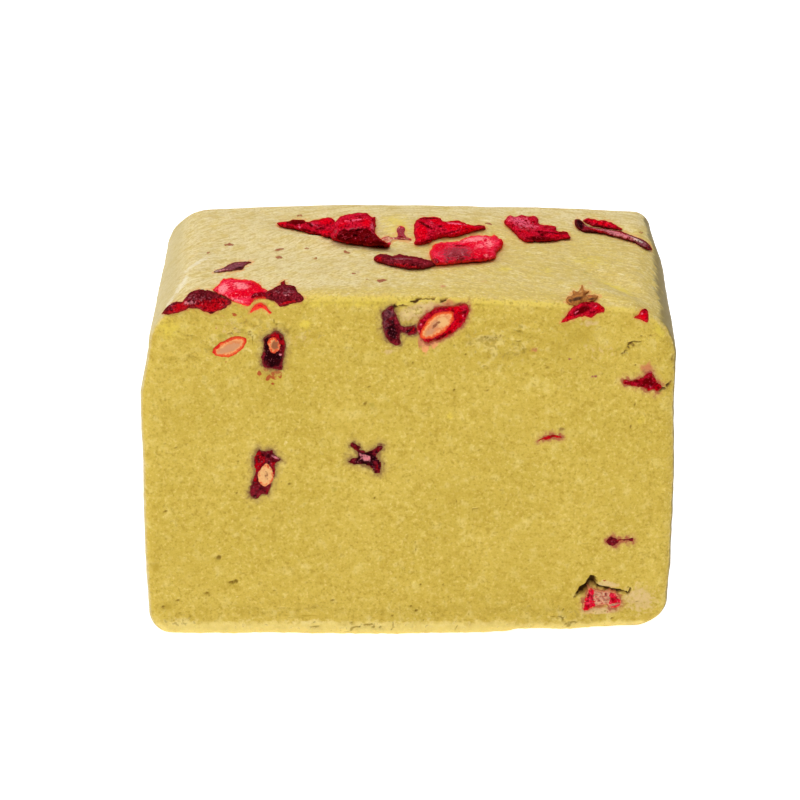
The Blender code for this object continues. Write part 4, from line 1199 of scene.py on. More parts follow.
# Where the knife tore the dough into crumbs: ovals in x and z.
TORN = (
    (-9, 21.6, 3.6, 1, 0, 0.9), (-12.8, 20.9, 1.4, 1.2, 0, 0.8), (6.5, 20.6, 3.4, 1.3, 0, 0.8),
    (-1, 0.7, 15, 0.7, 0, 0.6), (-15.2, 1, 1.6, 0.7, 0, 0.9), (-10.2, 22.4, 2.2, 0.8, 0, 1),
    (-14.3, 20.9, 2.2, 1.4, 0, 0.55), (-7, 21.3, 1.6, 1.2, 0, 0.5), (-4.3, 20.2, 3.4, 1, 0, 0.5),
    (0.4, 23.3, 1.4, 0.6, 0, 0.9), (5.4, 21.3, 2.2, 1, 0, 1), (4.6, 19.6, 2.6, 0.8, 0, 0.6),
    (8, 22, 2.4, 0.8, 0, 0.8), (12.5, 19.8, 2.6, 1.6, 0, 0.35), (11.6, 1.4, 3, 0.9, 0, 0.8),
    (-15.4, 0.8, 1.2, 0.5, 0, 0.9), (-7, 1.6, 4, 0.6, 0, 0.4), (5, 2, 5, 1.2, 0, 0.35),
)
TORN_UNEVEN = 0.5
TORN_NOISE = (1.3, 21)  # here and below, a noise has a feature size and a seed
BACK_TORN = 0.5
BACK_TORN_NOISE = (5.0, 23)
BACK_TORN_FROM = (0.2, 0.8)

# Gaps between the crumbs.
CREASE = 0.16  # depth
CREASE_STRETCH = (1.7, 1.0, 1.0)
CREASE_NOISE = (0.42, 41)
CREASE_WIDTH = (0.02, 0.16)
CREASE_PARTS_NOISE = (0.8, 43)
CREASE_PARTS_FROM = (0.0, 0.35)

# Cracks of the front: points, half width and depth.
CRACKS = (
    (((-1.70, 23.26), (-1.25, 23.50), (-0.90, 23.72)), 0.14, 0.245),
    (((-0.73, 23.74), (-0.47, 23.66), (-0.16, 23.78)), 0.08, 0.175),
    (((0.05, 23.92), (0.38, 24.02), (0.80, 24.20)), 0.12, 0.245),
    (((0.75, 24.14), (1.23, 24.18), (1.72, 24.27)), 0.08, 0.175),
    (((2.08, 24.10), (2.50, 24.25)), 0.09, 0.21),
    (((2.90, 23.74), (3.35, 23.82), (3.75, 23.74)), 0.06, 0.14),
    (((14.05, 20.48), (14.37, 20.75), (14.50, 20.98), (14.76, 21.05)), 0.05, 0.182),
    (((14.96, 21.08), (15.22, 21.17)), 0.05, 0.14),
    (((16.40, 17.85), (16.75, 17.99), (17.07, 18.20), (17.33, 18.41)), 0.08, 0.245),
    (((17.37, 19.26), (17.39, 19.82), (17.41, 20.38)), 0.05, 0.14),
    (((9.95, 15.15), (10.30, 15.00), (10.65, 15.35)), 0.07, 0.14),
    (((12.60, 3.70), (13.34, 3.52), (14.07, 3.36), (14.85, 3.12), (14.97, 3.52)), 0.12, 0.35),
    (((-8.90, 2.15), (-7.90, 1.95), (-6.60, 2.15), (-5.70, 2.40)), 0.08, 0.07),
    (((4.00, 21.70), (5.20, 21.40), (6.40, 21.70)), 0.07, 0.084),
    (((-11.80, 21.75), (-10.90, 21.90), (-10.20, 21.70)), 0.07, 0.084),
    (((4.60, 0.75), (6.20, 0.95), (7.90, 0.80)), 0.05, 0.07),
)
CRACKS_WANDER = ((0.15, 0.40, 31), (0.09, 0.18, 33))  # reach, feature size, seed
CRACK_CORE = 0.3  # share of its half width over which a crack is deepest
CRACK_SOFT = 0.04
GAPING = 0.7  # how wide cracks are, as a share of the width given
GAPING_NOISE = (0.45, 35)
GAPING_RANGE = (0.2, 1.3)

# The hollow beside the low piece of fruit, as an outline on the front.
HOLLOW = (
    (12.21, 4.43), (12.48, 4.43), (12.62, 4.14), (12.55, 3.84), (12.22, 3.55), (11.96, 3.33),
    (11.56, 3.03), (11.22, 2.88), (11.30, 3.20), (11.81, 3.77), (12.08, 4.07),
)
HOLLOW_DEPTH = 0.9
HOLLOW_WALL = (-0.20, 0.08)

# Small pits of the front: x, z, radius.
PITS = (
    (-12.83, 5.74, 0.136), (-11.66, 4.02, 0.124), (-11.92, 3.90, 0.112), (-12.12, 3.88, 0.087),
    (-13.74, 3.08, 0.124), (-13.45, 2.98, 0.074), (-16.57, 2.09, 0.112), (-16.04, 6.25, 0.087),
    (-15.29, 6.20, 0.062), (-16.12, 5.21, 0.087), (-14.60, 5.42, 0.062), (-14.28, 4.54, 0.074),
    (-15.15, 13.8, 0.087), (-15.75, 19.8, 0.087), (-11.7, 7.9, 0.05), (-8.9, 8.6, 0.05),
    (-8.0, 11.1, 0.087), (3.2, 9.8, 0.062), (-2.4, 15.4, 0.062), (6.1, 17.8, 0.074),
    (12.2, 17.2, 0.062), (-6.1, 12.4, 0.05), (1.2, 6.6, 0.062), (9.7, 8.1, 0.062),
    (15.21, 21.57, 0.074), (-8.49, 11.21, 0.074),
)
PIT_REACH = 4  # how far a pit is followed, in its radii
PIT_BREADTH = 1.2
PIT_DEPTH = 1.6
STRAY_PITS = 160
STRAY_SEED = 7
STRAY_SPANS = ((-16.5, 16.5), (0.8, 23.0), (0.04, 0.09))  # x, z and radius

# Where a cut face begins to be flat and where it is flat, from the cut.
FACE_FROM = 0.45
FACE_FULL = 0.2
NEAR_FACE = 0.8  # how far from a cut its fruit can show
WAY_REACH = 1.2  # how far from a piece of fruit the dough follows it
WAY_MOST = 3.0

# Fine relief of the dough.
CLEAR_OF_FRUIT = 0.3
CLEAR_OF_PADS = 0.6
SWELL = 0.035
SWELL_NOISE = (2.6, 1)
GRAIN = 0.016
GRAIN_NOISE = (0.42, 5, 2)
CRUMB = 0.22
CRUMB_BEADS = (0.58, 11)
CRUMB_LEVEL = 0.55
ROUGH = 0.12
ROUGH_NOISE = (0.36, 14)
STREAK = 0.02
STREAK_TURN = 38.0
STREAK_STRETCH = (5.0, 1.0, 1.0)
STREAK_NOISE = (0.5, 17)

# The fruit's beds in the dough.
BED = 0.25
BED_RAGGED = 0.04
BED_NOISE = (0.25, 25)
CUT_BED_WALL = (-0.34, -0.14)
TOP_BED_WALL = (-0.38, -0.16)
DENT = 0.03
DENT_REACH = 0.5

# Dough that the knife drew over the front's foot.
SMEAR = 0.10
SMEAR_TOP = 1.9
SMEAR_WAVE = 0.25
SMEAR_NOISE = (1.6, 27)
SMEAR_EDGE = 0.12
SMEAR_MIDDLE = -1.0
SMEAR_ENDS = (16.0, 10.0)

# Where the dough's colours change: from none to all.
TOP_MARKS_FROM = (HEIGHT - 5.0, HEIGHT - 3.5)
DEEP_FULL = 0.25
PIT_FULL = 0.12
# The foot band is lighter: partly the paler dough drawn over the foot, partly painted light thrown up
# from the floor.
FOOT_BAND = (0.6, 1.6)
RIGHT_PART = (-8.0, 6.0)
BACK_PART = (5.0, 9.0)
RIGHT_THIN = 0.5  # how much less of the pale film colour lies at the right
BARE_ALONG = (FACE + 0.6, FACE + 2.6)
BARE_FROM = (-9.0, -6.0)
BARE_THIN = 0.8  # how much of it is missing beside the front
# Slopes of the flanks, left and right, over which shade is painted.
FLANK_SLOPE = (0.35, 0.8)
SHADE_SLOPE = (0.45, 0.85)
# A painted highlight lies along the front's top edge, over this band.
ARRIS_ALONG = (FACE + 0.7, FACE + 1.2)
ARRIS_FRONT = (0.15, 0.5)
ARRIS_TOP = (0.2, 0.5)


def on_face(points, side):
    """1 on the flat of a cut face, 0 off it; side is -1 for the front and 1 for the back."""
    return smooth_step(points[:, 1] * side, LENGTH / 2 - FACE_FROM, LENGTH / 2 - FACE_FULL)


def middle_of(piece):
    """x and height of a piece's middle, in the plane where its outline is measured."""
    if piece.at:
        return np.array(piece.at)
    low, high = node_box(piece.holder or piece.name)
    x, y, z = (low + high) / 2
    height = z if piece.upright else view_height(y, z)
    return np.array([x, height]) + piece.shift


def rim_of(piece):
    return closed_curve(piece.outline, RIM_STEPS) + middle_of(piece)


def way_field(points, flat, side, pieces):
    """Distance from each point to the nearest rim of some pieces, where the points lie near."""
    way = np.full(len(points), AWAY)
    for piece in pieces:
        rim = rim_of(piece)
        over = (flat > rim.min(axis=0) - WAY_REACH) & (flat < rim.max(axis=0) + WAY_REACH)
        near = over.all(axis=1) & side
        way[near] = np.minimum(way[near], way_to_rim(flat[near], rim))
    return way


def ways_to_fruit(points):
    """Distance from each point of the block to the nearest fruit, for each kind of stain."""
    face_flat = points[:, [0, 2]]
    view_flat = np.stack([points[:, 0], view_height(points[:, 1], points[:, 2])], axis=1)
    front = points[:, 1] < FACE + NEAR_FACE
    rear = points[:, 1] > LENGTH / 2 - NEAR_FACE
    seen = (points[:, 2] > HEIGHT / 2) & ~rear
    ways = {"top": way_field(points, view_flat, seen, TOP_FRUIT)}
    for stain in ("red", "dark", "none"):
        ways[stain] = np.full(len(points), AWAY)
        for side, fruit in ((front, CUT_FRUIT), (rear, BACK_FRUIT)):
            pieces = [piece for piece in fruit if piece.stain == stain]
            way = way_field(points, face_flat, side, pieces)
            ways[stain] = np.minimum(ways[stain], way)
    return ways


def torn(points):
    """How far the knife crumbled the dough at each point of the faces, from 0 to 1."""
    total = highest_oval(points[:, 0], points[:, 2], TORN)
    broken = total * (1.0 + TORN_UNEVEN * noise(points, *TORN_NOISE))
    back = BACK_TORN * smooth_step(fractal(points, *BACK_TORN_NOISE), *BACK_TORN_FROM)
    return np.clip(broken * on_face(points, -1) + back * on_face(points, 1), 0.0, 1.0)


def creased(points):
    """Gaps between the crumbs, from 0 to 1: short uneven lines, longer across than up."""
    line = np.abs(noise(points / CREASE_STRETCH, *CREASE_NOISE))
    parts = smooth_step(noise(points, *CREASE_PARTS_NOISE), *CREASE_PARTS_FROM)
    return torn(points) * parts * (1.0 - smooth_step(line, *CREASE_WIDTH))


def cracked(points):
    """Depth of the cracks and of the hollow at each point of the front."""
    ragged = points[:, [0, 2]]
    for reach, size, seed in CRACKS_WANDER:
        across, up = noise(points, size, seed), noise(points, size, seed + 1)
        ragged = ragged + reach * np.stack([across, up], axis=1)
    gaping = np.clip(GAPING * (1.0 + noise(points, *GAPING_NOISE)), *GAPING_RANGE)
    depth = np.zeros(len(points))
    for line, half, deep in CRACKS:
        away = way_to_line(ragged, np.array(line))
        half = half * gaping
        wall = smooth_step(away, CRACK_CORE * half, half + CRACK_SOFT)
        depth = np.maximum(depth, deep * (1.0 - wall))
    inside = way_to_rim(ragged, closed_curve(HOLLOW, ZONE_STEPS))
    depth = np.maximum(depth, HOLLOW_DEPTH * (1.0 - smooth_step(inside, *HOLLOW_WALL)))
    return depth * on_face(points, -1)


def pitted(points):
    """Depth of the small pits, those that show and stray ones."""
    draw = np.random.default_rng(STRAY_SEED)
    stray = np.stack([draw.uniform(*span, STRAY_PITS) for span in STRAY_SPANS], axis=1)
    depth = np.zeros(len(points))
    flat = points[:, [0, 2]]
    for x, z, radius in np.vstack([np.array(PITS), stray]):
        near = (np.abs(flat - (x, z)) < PIT_REACH * radius).all(axis=1)
        round_it = bell(flat[near, 0], flat[near, 1], (x, z), (radius * PIT_BREADTH, radius))
        depth[near] = np.maximum(depth[near], radius * PIT_DEPTH * round_it)
    return depth * (on_face(points, -1) + on_face(points, 1))


def way_to_cut_fruit(ways):
    """Distance to the nearest cut piece of any stain."""
    return np.minimum.reduce([ways["red"], ways["dark"], ways["none"]])


def foot_smear(points):
    """Height of the dough that the knife drew over the front's foot, with a wavy upper edge."""
    edge = SMEAR_TOP + SMEAR_WAVE * noise(points, *SMEAR_NOISE) - points[:, 2]
    ends = smooth_step(np.abs(points[:, 0] - SMEAR_MIDDLE), *SMEAR_ENDS)
    return SMEAR * smooth_step(edge, -SMEAR_EDGE, SMEAR_EDGE) * on_face(points, -1) * ends


def dough_relief(points, ways):
    """How far each point of the block moves out along its normal.

    Slow swells everywhere, fine grain on the cut faces, crumbs with gaps between them where the
    dough is torn, and faint drawn streaks on the pressed skin. Cracks, the hollow, pits and the
    beds of the fruit go inwards.
    """
    faces = on_face(points, -1) + on_face(points, 1)
    cut_way = way_to_cut_fruit(ways)
    clear = smooth_step(cut_way, 0.0, CLEAR_OF_FRUIT)
    loose = torn(points) * clear
    swell = SWELL * fractal(points, *SWELL_NOISE) * smooth_step(ways["top"], 0.0, CLEAR_OF_PADS)
    grain = GRAIN * fractal(points, *GRAIN_NOISE)
    crumb = CRUMB * (beads(points, *CRUMB_BEADS) - CRUMB_LEVEL) + ROUGH * noise(points, *ROUGH_NOISE)
    drawn = turned(points, STREAK_TURN) / STREAK_STRETCH
    streaks = STREAK * noise(drawn, *STREAK_NOISE)
    relief = swell + faces * grain * clear + loose * crumb + (1.0 - faces) * streaks
    ragged_way = cut_way + BED_RAGGED * noise(points, *BED_NOISE)
    bed = BED * (1.0 - smooth_step(ragged_way, *CUT_BED_WALL)) * faces
    sunk = BED * (1.0 - smooth_step(ways["top"], *TOP_BED_WALL))
    dent = DENT * (1.0 - smooth_step(ways["top"], 0.0, DENT_REACH))
    open_parts = cracked(points) + (CREASE * creased(points) + pitted(points)) * clear
    return relief + foot_smear(points) - bed - sunk - dent - open_parts


def mark_fields(points):
    """Strength of each kind of mark at each point: those of the front and those of the top."""
    x, y, z = points.T
    front = on_face(points, -1)
    top = (1.0 - front - on_face(points, 1)) * smooth_step(z, *TOP_MARKS_FROM)
    fields = {}
    for kind, *_ in MARK_TONES:
        on_front = front * highest_oval(x, z, FRONT_MARKS.get(kind, ()))
        on_top = top * highest_oval(x, y, TOP_MARKS.get(kind, ()))
        fields[kind] = np.maximum(on_front, on_top)
    return fields


def skin_fields(points, normals):
    """Where the block has skin and where that is dry, painted shade on its flanks, a painted highlight
    along the front's top edge, and its lighter foot, partly painted light from the floor.
    """
    x, y, z = points.T
    skin = 1.0 - on_face(points, -1) - on_face(points, 1)
    right = smooth_step(x, *RIGHT_PART) * (1.0 - smooth_step(y, *BACK_PART))
    bare = (1.0 - smooth_step(y, *BARE_ALONG)) * smooth_step(x, *BARE_FROM)
    turning = smooth_step(-normals[:, 1], *ARRIS_FRONT) * smooth_step(normals[:, 2], *ARRIS_TOP)
    return {
        "skin": skin,
        "film": skin * (1.0 - RIGHT_THIN * right) * (1.0 - BARE_THIN * bare),
        "flank_shade": skin * smooth_step(-normals[:, 0], *FLANK_SLOPE),
        "shade": skin * smooth_step(normals[:, 0], *SHADE_SLOPE),
        "arris": (1.0 - smooth_step(y, *ARRIS_ALONG)) * turning,
        "foot": (1.0 - smooth_step(z, *FOOT_BAND)) * on_face(points, -1),
    }


def dough_fields(points, normals, ways):
    """What the dough's colour follows, as a number for each point."""
    clear = smooth_step(way_to_cut_fruit(ways), 0.0, CLEAR_OF_FRUIT)
    fields = mark_fields(points) | skin_fields(points, normals)
    for kind in ("red", "dark", "top"):
        fields[f"{kind}_way"] = np.minimum(ways[kind], WAY_MOST)
    fields["torn"] = torn(points)
    # Painted shade in the gaps between the crumbs follows this field.
    fields["crease"] = creased(points) * clear
    # Painted shade in the cracks and the hollow follows this field.
    fields["deep"] = np.clip(cracked(points) / DEEP_FULL, 0.0, 1.0)
    # Painted shade in the pits follows this field.
    fields["pit"] = np.clip(pitted(points) / PIT_FULL * clear, 0.0, 1.0)
    return fields


def mesh_arrays(mesh):
    """Places and normals of a mesh's points."""
    places = np.empty(len(mesh.vertices) * 3, np.float32)
    normals = np.empty(len(mesh.vertices) * 3, np.float32)
    mesh.vertices.foreach_get("co", places)
    mesh.vertices.foreach_get("normal", normals)
    return places.reshape(-1, 3).astype(float), normals.reshape(-1, 3).astype(float)


def build_dough(finish):
    """The block: its packed form on a fine grid, with its relief and its fields."""
    places, quads = box_skin(graded(GRAIN_ACROSS), graded(GRAIN_ALONG), graded(GRAIN_UP))
    mesh = bpy.data.meshes.new("dough_block")
    mesh.from_pydata(dough_form(places).tolist(), [], quads.tolist())
    points, normals = mesh_arrays(mesh)
    ways = ways_to_fruit(points)
    fields = dough_fields(points, normals, ways)
    points += normals * dough_relief(points, ways)[:, None]
    points[:, 2] = np.maximum(points[:, 2], 0.0)
    mesh.vertices.foreach_set("co", (points * MM).astype(np.float32).ravel())
    mesh.update()
    dough = wear("dough_block", mesh, finish, fields)
    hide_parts("dough")


# Fruit.

RIM_STEPS = 144
PAD_GRAIN = 0.042  # spacing of the fruit's grid, in the plane where it is measured
PAD_MARGIN = 0.14  # how far its grid reaches past its rim, down into the dough
WALL = (-0.07, 0.05)  # the rim's wall, from outside to inside
RIM_ROUND = 0.40  # how far in from the rim a piece still rises
PEG_DEPTH = 0.9
RIM_WANDER = ((0.05, 0.32), (0.04, 0.14))  # reach and feature size
RIM_SEED = 6
SEED_APART = 0.37  # distance between the noises of one piece and the next, for each seed
FIBRE_WANDER = 0.10
FIBRE_WAVE = 0.6
RIDGE_STRETCH = (2.4, 1.0, 1.0)
RIDGE_SIZE = 0.38
FINE_STRETCH = (1.5, 1.0, 1.0)
FINE_SIZE = 0.17
RIDGE_PARTS = (0.8, 0.6)  # of the ridges and of the fine ones
CREST_PARTS = (0.6, 0.4)
BEAD_SIZE = 0.34
ROUNDED_PART = 0.65  # share of the rise that lies in the rounded rim, the rest in the dome
EDGE_BAND = (0.02, 0.26)
CRUMBED_MOST = 0.30
CRUMBED_SHARE = 0.45
COLOUR_KINDS = ("pale", "bright", "dark", "dust", "crust")


def colour_fields(piece, flat):
    """The strength of each kind of patch at each point."""
    x, up = flat.T
    fields = {kind: highest_oval(x, up, piece.patches.get(kind, ())) for kind in COLOUR_KINDS}
    for zone in piece.zones:
        strength = zone.amount * in_zone(flat, zone.corners, zone.soft)
        fields[zone.kind] = np.maximum(fields[zone.kind], strength)
    return fields


def pad_grid(rim):
    """A grid over a rim's surroundings, and its quads numbered by their corners."""
    low, high = rim.min(axis=0) - 3 * PAD_MARGIN, rim.max(axis=0) + 3 * PAD_MARGIN
    across = np.arange(low[0], high[0], PAD_GRAIN)
    up = np.arange(low[1], high[1], PAD_GRAIN)
    grid = np.stack(np.meshgrid(across, up, indexing="ij"), axis=2)
    number = np.arange(grid.shape[0] * grid.shape[1]).reshape(grid.shape[:2])
    corners = (number[:-1, :-1], number[1:, :-1], number[1:, 1:], number[:-1, 1:])
    return grid.reshape(-1, 2), np.stack([c.ravel() for c in corners], axis=1)


def closed_pad(quads, kept, count):
    """The kept quads, and triangles from their border to the hidden point numbered count."""
    quads = quads[kept[quads].all(axis=1)]
    starts = quads.ravel()
    ends = np.roll(quads, -1, axis=1).ravel()
    forward = starts * count + ends
    backward = ends * count + starts
    border = ~np.isin(forward, backward)
    cone = np.stack([ends[border], starts[border], np.full(border.sum(), count)], axis=1)
    return quads, cone


def compact(points, faces):
    """The points that faces use, and the faces by their numbers among these."""
    used = np.unique(np.concatenate([face.ravel() for face in faces]))
    number = np.full(len(points), -1)
    number[used] = np.arange(len(used))
    return used, [corners for face in faces for corners in number[face].tolist()]


def pad_height(piece, flat, inward, seed):
    """Height of a piece over the dough at each point of its plane, and how far it is a crest.

    A mound with a rounded rim. Ridges run along its fibres, beads lie side by side on it, and
    swells raise or sink parts of it. Past the rim a steep wall goes down into the dough.
    """
    widest = max(inward.max(), TINY)
    to_rim = np.clip(inward / min(RIM_ROUND, widest), 0.0, 1.0)
    to_middle = np.clip(inward / widest, 0.0, 1.0)
    rounded = 1.0 - (1.0 - to_rim) ** 2
    domed = np.sqrt(1.0 - (1.0 - to_middle) ** 2)
    plan = np.stack([flat[:, 0], flat[:, 1], np.full(len(flat), seed * SEED_APART)], axis=1)
    along = turned(plan, piece.fibre) + FIBRE_WANDER * noise(plan, FIBRE_WAVE, seed)[:, None]
    ridged = 1.0 - 2.0 * np.abs(noise(along / RIDGE_STRETCH, RIDGE_SIZE, seed + 2))
    fine = 1.0 - 2.0 * np.abs(noise(along / FINE_STRETCH, FINE_SIZE, seed + 3))
    bumps = 2.0 * beads(plan, BEAD_SIZE, seed + 4) - 1.0
    rough = piece.ridges * (RIDGE_PARTS[0] * ridged + RIDGE_PARTS[1] * fine)
    rough += piece.beading * bumps + oval_sum(flat[:, 0], flat[:, 1], piece.swells)
    shape = ROUNDED_PART * rounded + (1.0 - ROUNDED_PART) * domed
    mound = piece.stand + piece.rise * shape + rough * rounded
    wall = smooth_step(inward, *WALL)
    share = piece.beading / (piece.beading + piece.ridges)
    crest = (1.0 - share) * (CREST_PARTS[0] * ridged + CREST_PARTS[1] * fine) + share * bumps
    return wall * mound - (1.0 - wall) * piece.under, crest


def lay_pad(piece, side, flat, height):
    """Puts points of the plane at their height over the skin, where the view meets them."""
    x = flat[:, 0]
    if piece.upright:
        y = side * (LENGTH / 2 - face_wave(x, flat[:, 1]) + height)
        return np.stack([x, y, flat[:, 1]], axis=1)
    _, _, out_y, out_z = lay_on_skin(x, flat[:, 1])
    y, z, _, _ = lay_on_skin(x, flat[:, 1] - height * view_height(out_y, out_z))
    return np.stack([x, y + height * out_y, z + height * out_z], axis=1)


def pad_mesh(piece, side, seed):
    """A piece of fruit as a height over the skin on a fine grid, closed below by a hidden cone."""
    middle = middle_of(piece)
    rim = rim_of(piece)
    flat, quads = pad_grid(rim)
    plan = np.stack([flat[:, 0], flat[:, 1], np.full(len(flat), float(seed))], axis=1)
    ragged = np.zeros(len(flat))
    for number, (reach, size) in enumerate(RIM_WANDER):
        ragged += reach * noise(plan, size, seed + RIM_SEED + number)
    inward = ragged - way_to_rim(flat, rim)
    height, crest = pad_height(piece, flat - middle, inward, seed)
    points = lay_pad(piece, side, flat, height)
    quads, cone = closed_pad(quads, inward > -PAD_MARGIN, len(points))
    down = 0.0 if piece.upright else -PEG_DEPTH
    peg = points[inward > 0.0].mean(axis=0) + (0.0, PEG_DEPTH * -side, down)
    fields = colour_fields(piece, flat - middle)
    fields["dark"] = np.maximum(fields["dark"], piece.soaked)
    fields["crest"] = crest * piece.gleam
    fields["rim"] = np.clip(inward, 0.0, WAY_MOST)
    fields["edge"] = (1.0 - smooth_step(inward, *EDGE_BAND)) * piece.fringe
    crumbed = min(CRUMBED_MOST, CRUMBED_SHARE * inward.max())
    fields["smear"] = (1.0 - smooth_step(inward, 0.0, crumbed)) * piece.smear
    used, faces = compact(np.vstack([points, peg]), [quads, cone])
    if side > 0:
        faces = [face[::-1] for face in faces]
    fields = {name: np.append(values, 0.0)[used] for name, values in fields.items()}
    return np.vstack([points, peg])[used], faces, fields


def build_pad(piece, side, finishes, seed):
    """A piece of fruit in the scene. One that was packed takes its node's place."""
    points, faces, fields = pad_mesh(piece, side, seed)
    name = piece.name if piece.holder else f"{piece.name}_flesh"
    made = add_piece(name, points, faces, finishes[piece.finish], fields)
    if not piece.holder:
        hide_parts(piece.name)


# Flecks of fruit that show in the skin, as small chips.

CHIP_CORNERS = 9
CHIP_LEAST = 0.07  # half the breadth of the narrowest chip
CHIP_LARGEST = 0.55
CHIP_KINDS = ("plum", "wine")
CHIP_UNEVEN = (0.65, 1.25)
CHIP_FORM = {"stand": 0.004, "rise": 0.0, "under": 0.12, "ridges": 0.012}
CHIP_SEED = 700


def chip(mark, on_top, seed):
    """A small chip in the place of a mark: an uneven oval."""
    draw = np.random.default_rng(seed)
    bearings = np.arange(CHIP_CORNERS) * 2.0 * math.pi / CHIP_CORNERS
    reach = draw.uniform(*CHIP_UNEVEN, CHIP_CORNERS)
    x, up, wide, high, turn, _ = mark
    if on_top:
        up = view_height(up, float(skin_height(np.array([x]), np.array([up]))[0]))
        high = high * math.sin(LOOK_DOWN)
    across = max(wide, CHIP_LEAST) * reach * np.cos(bearings)
    aside = max(high, CHIP_LEAST) * reach * np.sin(bearings)
    corners = turned(np.stack([across, aside, bearings], axis=1), -turn)[:, :2]
    return Fruit("fruit_chip", "fruit_chip", corners, at=(x, up), upright=not on_top, **CHIP_FORM)


def build_chips(finish):
    """All the chips as one mesh."""
    parts = []
    for marks, on_top in ((FRONT_MARKS, False), (TOP_MARKS, True)):
        rows = [row for kind in CHIP_KINDS for row in marks.get(kind, ())]
        small = [row for row in rows if max(row[2:4]) < CHIP_LARGEST]
        chips = [chip(row, on_top, len(parts) + number) for number, row in enumerate(small)]
        parts += [pad_mesh(each, -1, CHIP_SEED + number) for number, each in enumerate(chips)]
    counts = np.cumsum([0] + [len(points) for points, _, _ in parts])
    faces = [[c + first for c in face] for first, part in zip(counts, parts) for face in part[1]]
    fields = {key: np.concatenate([part[2][key] for part in parts]) for key in parts[0][2]}
    points = np.vstack([part[0] for part in parts])
    add_piece("fruit_chips", points, faces, finish, fields)


# Materials.

NOISE_LOOK = {"Detail": 2.0, "Roughness": 0.55}


def linear(hex_colour, alpha=1.0):
    """A colour written in sRGB hex as linear light."""
    parts = [int(hex_colour[i : i + 2], 16) / 255.0 for i in (0, 2, 4)]
    light = [p / 12.92 if p <= 0.04045 else ((p + 0.055) / 1.055) ** 2.4 for p in parts]
    return (*light, alpha)


def add(tree, kind, inputs=None, **settings):
    """Adds a shader node with its settings. An input is a value or another node's output."""
    made = tree.nodes.new("ShaderNode" + kind)
    for name, value in settings.items():
        setattr(made, name, value)
    for name, value in (inputs or {}).items():
        if isinstance(value, bpy.types.NodeSocket):
            tree.links.new(value, made.inputs[name])
        else:
            made.inputs[name].default_value = value
    return made.outputs


def new_material(name, sizes):
    """A material, its tree, the object's own coordinates and noise patterns of them.

    Each pattern has the feature size, in millimetres, that its name has in sizes.
    """
    made = bpy.data.materials.new(name)
    made.use_nodes = True
    tree = made.node_tree
    place = add(tree, "TexCoord")["Object"]
    grain = {}
    for key, size in sizes.items():
        inputs = {"Vector": place, "Scale": 1.0 / (size * MM), **NOISE_LOOK}
        grain[key] = add(tree, "TexNoise", inputs)["Fac"]
    return made, tree, place, grain


def strewn(tree, which, broken, reach):
    """A point field whose edge is broken by a pattern, by up to reach to either side."""
    level = add(tree, "Attribute", attribute_name=which)["Fac"]
    shift = add(tree, "MapRange", {"Value": broken, 1: 0.25, 2: 0.75, 3: -reach, 4: reach})["Result"]
    return add(tree, "Math", {0: level, 1: shift}, operation="ADD")[0]


def finish_surface(tree, ground, layers, constants, bumps=()):
    """Gives the shader its colour, its constants and its bumps.

    The colour is a ground with layers over it. A layer is a value, the range over which it goes
    from none to all, its share and its colour. A bump is a pattern, its strength and its depth
    in millimetres, and lies on the one before.
    """
    shader = tree.nodes["Principled BSDF"]
    colour = linear(ground)
    for value, none, full, share, tone in layers:
        inputs = {"Value": value, 1: none, 2: full, 3: 0.0, 4: share}
        amount = add(tree, "MapRange", inputs, interpolation_type="SMOOTHSTEP")["Result"]
        mix = {0: amount, 6: colour, 7: linear(tone)}
        colour = add(tree, "Mix", mix, data_type="RGBA")[2]
    tree.links.new(colour, shader.inputs["Base Color"])
    for name, value in constants.items():
        shader.inputs[name].default_value = value
    below = {}
    for pattern, strength, depth in bumps:
        inputs = {"Height": pattern, "Strength": strength, "Distance": depth * MM, **below}
        below["Normal"] = add(tree, "Bump", inputs)["Normal"]
        tree.links.new(below["Normal"], shader.inputs["Normal"])


# Marks in the dough: how far their edge is broken, share and colour.
MARK_TONES = (
    ("gold", 0.25, 0.70, "E0C848"),
    ("ochre", 0.30, 0.75, "AE9022"),
    ("tan", 0.25, 0.85, "D8B882"),
    ("pale", 0.40, 0.75, "EBD68C"),
    ("olive", 0.25, 0.60, "A4902A"),
    ("peach", 0.30, 0.90, "EC9C64"),
    ("blush", 0.30, 0.75, "C4604A"),
    ("rust", 0.90, 0.90, "AC3C0C"),
    ("plum", 0.25, 0.50, "7A4650"),
    ("wine", 0.25, 0.40, "A8744E"),
    # sheen is a painted highlight.
    ("sheen", 0.25, 0.60, "EDE3C8"),
)
MARK_RANGE = 0.5  # from where a mark starts to where it is full

# Juice in the dough beside the fruit: where it is full and where it ends, share and colour.
STAINS = (
    ("top_way", 0.00, 0.14, 0.60, "E49A58"),
    ("red_way", 0.00, 0.45, 0.45, "C08C58"),
    ("red_way", -0.06, 0.18, 0.75, "A03430"),
    ("dark_way", 0.00, 0.55, 0.45, "A4844A"),
    ("dark_way", -0.10, 0.18, 0.65, "6A3428"),
)

# The streaks of the pressed skin turn from one side to the other: x and degrees.
STREAK_ENDS = (-10.0, 8.0)
STREAK_TURNS = (-38.0, 20.0)
STREAK_LONG = (0.38, 1.0, 1.0)
STREAK_SIZES = {"fine": 0.26, "broad": 0.8}


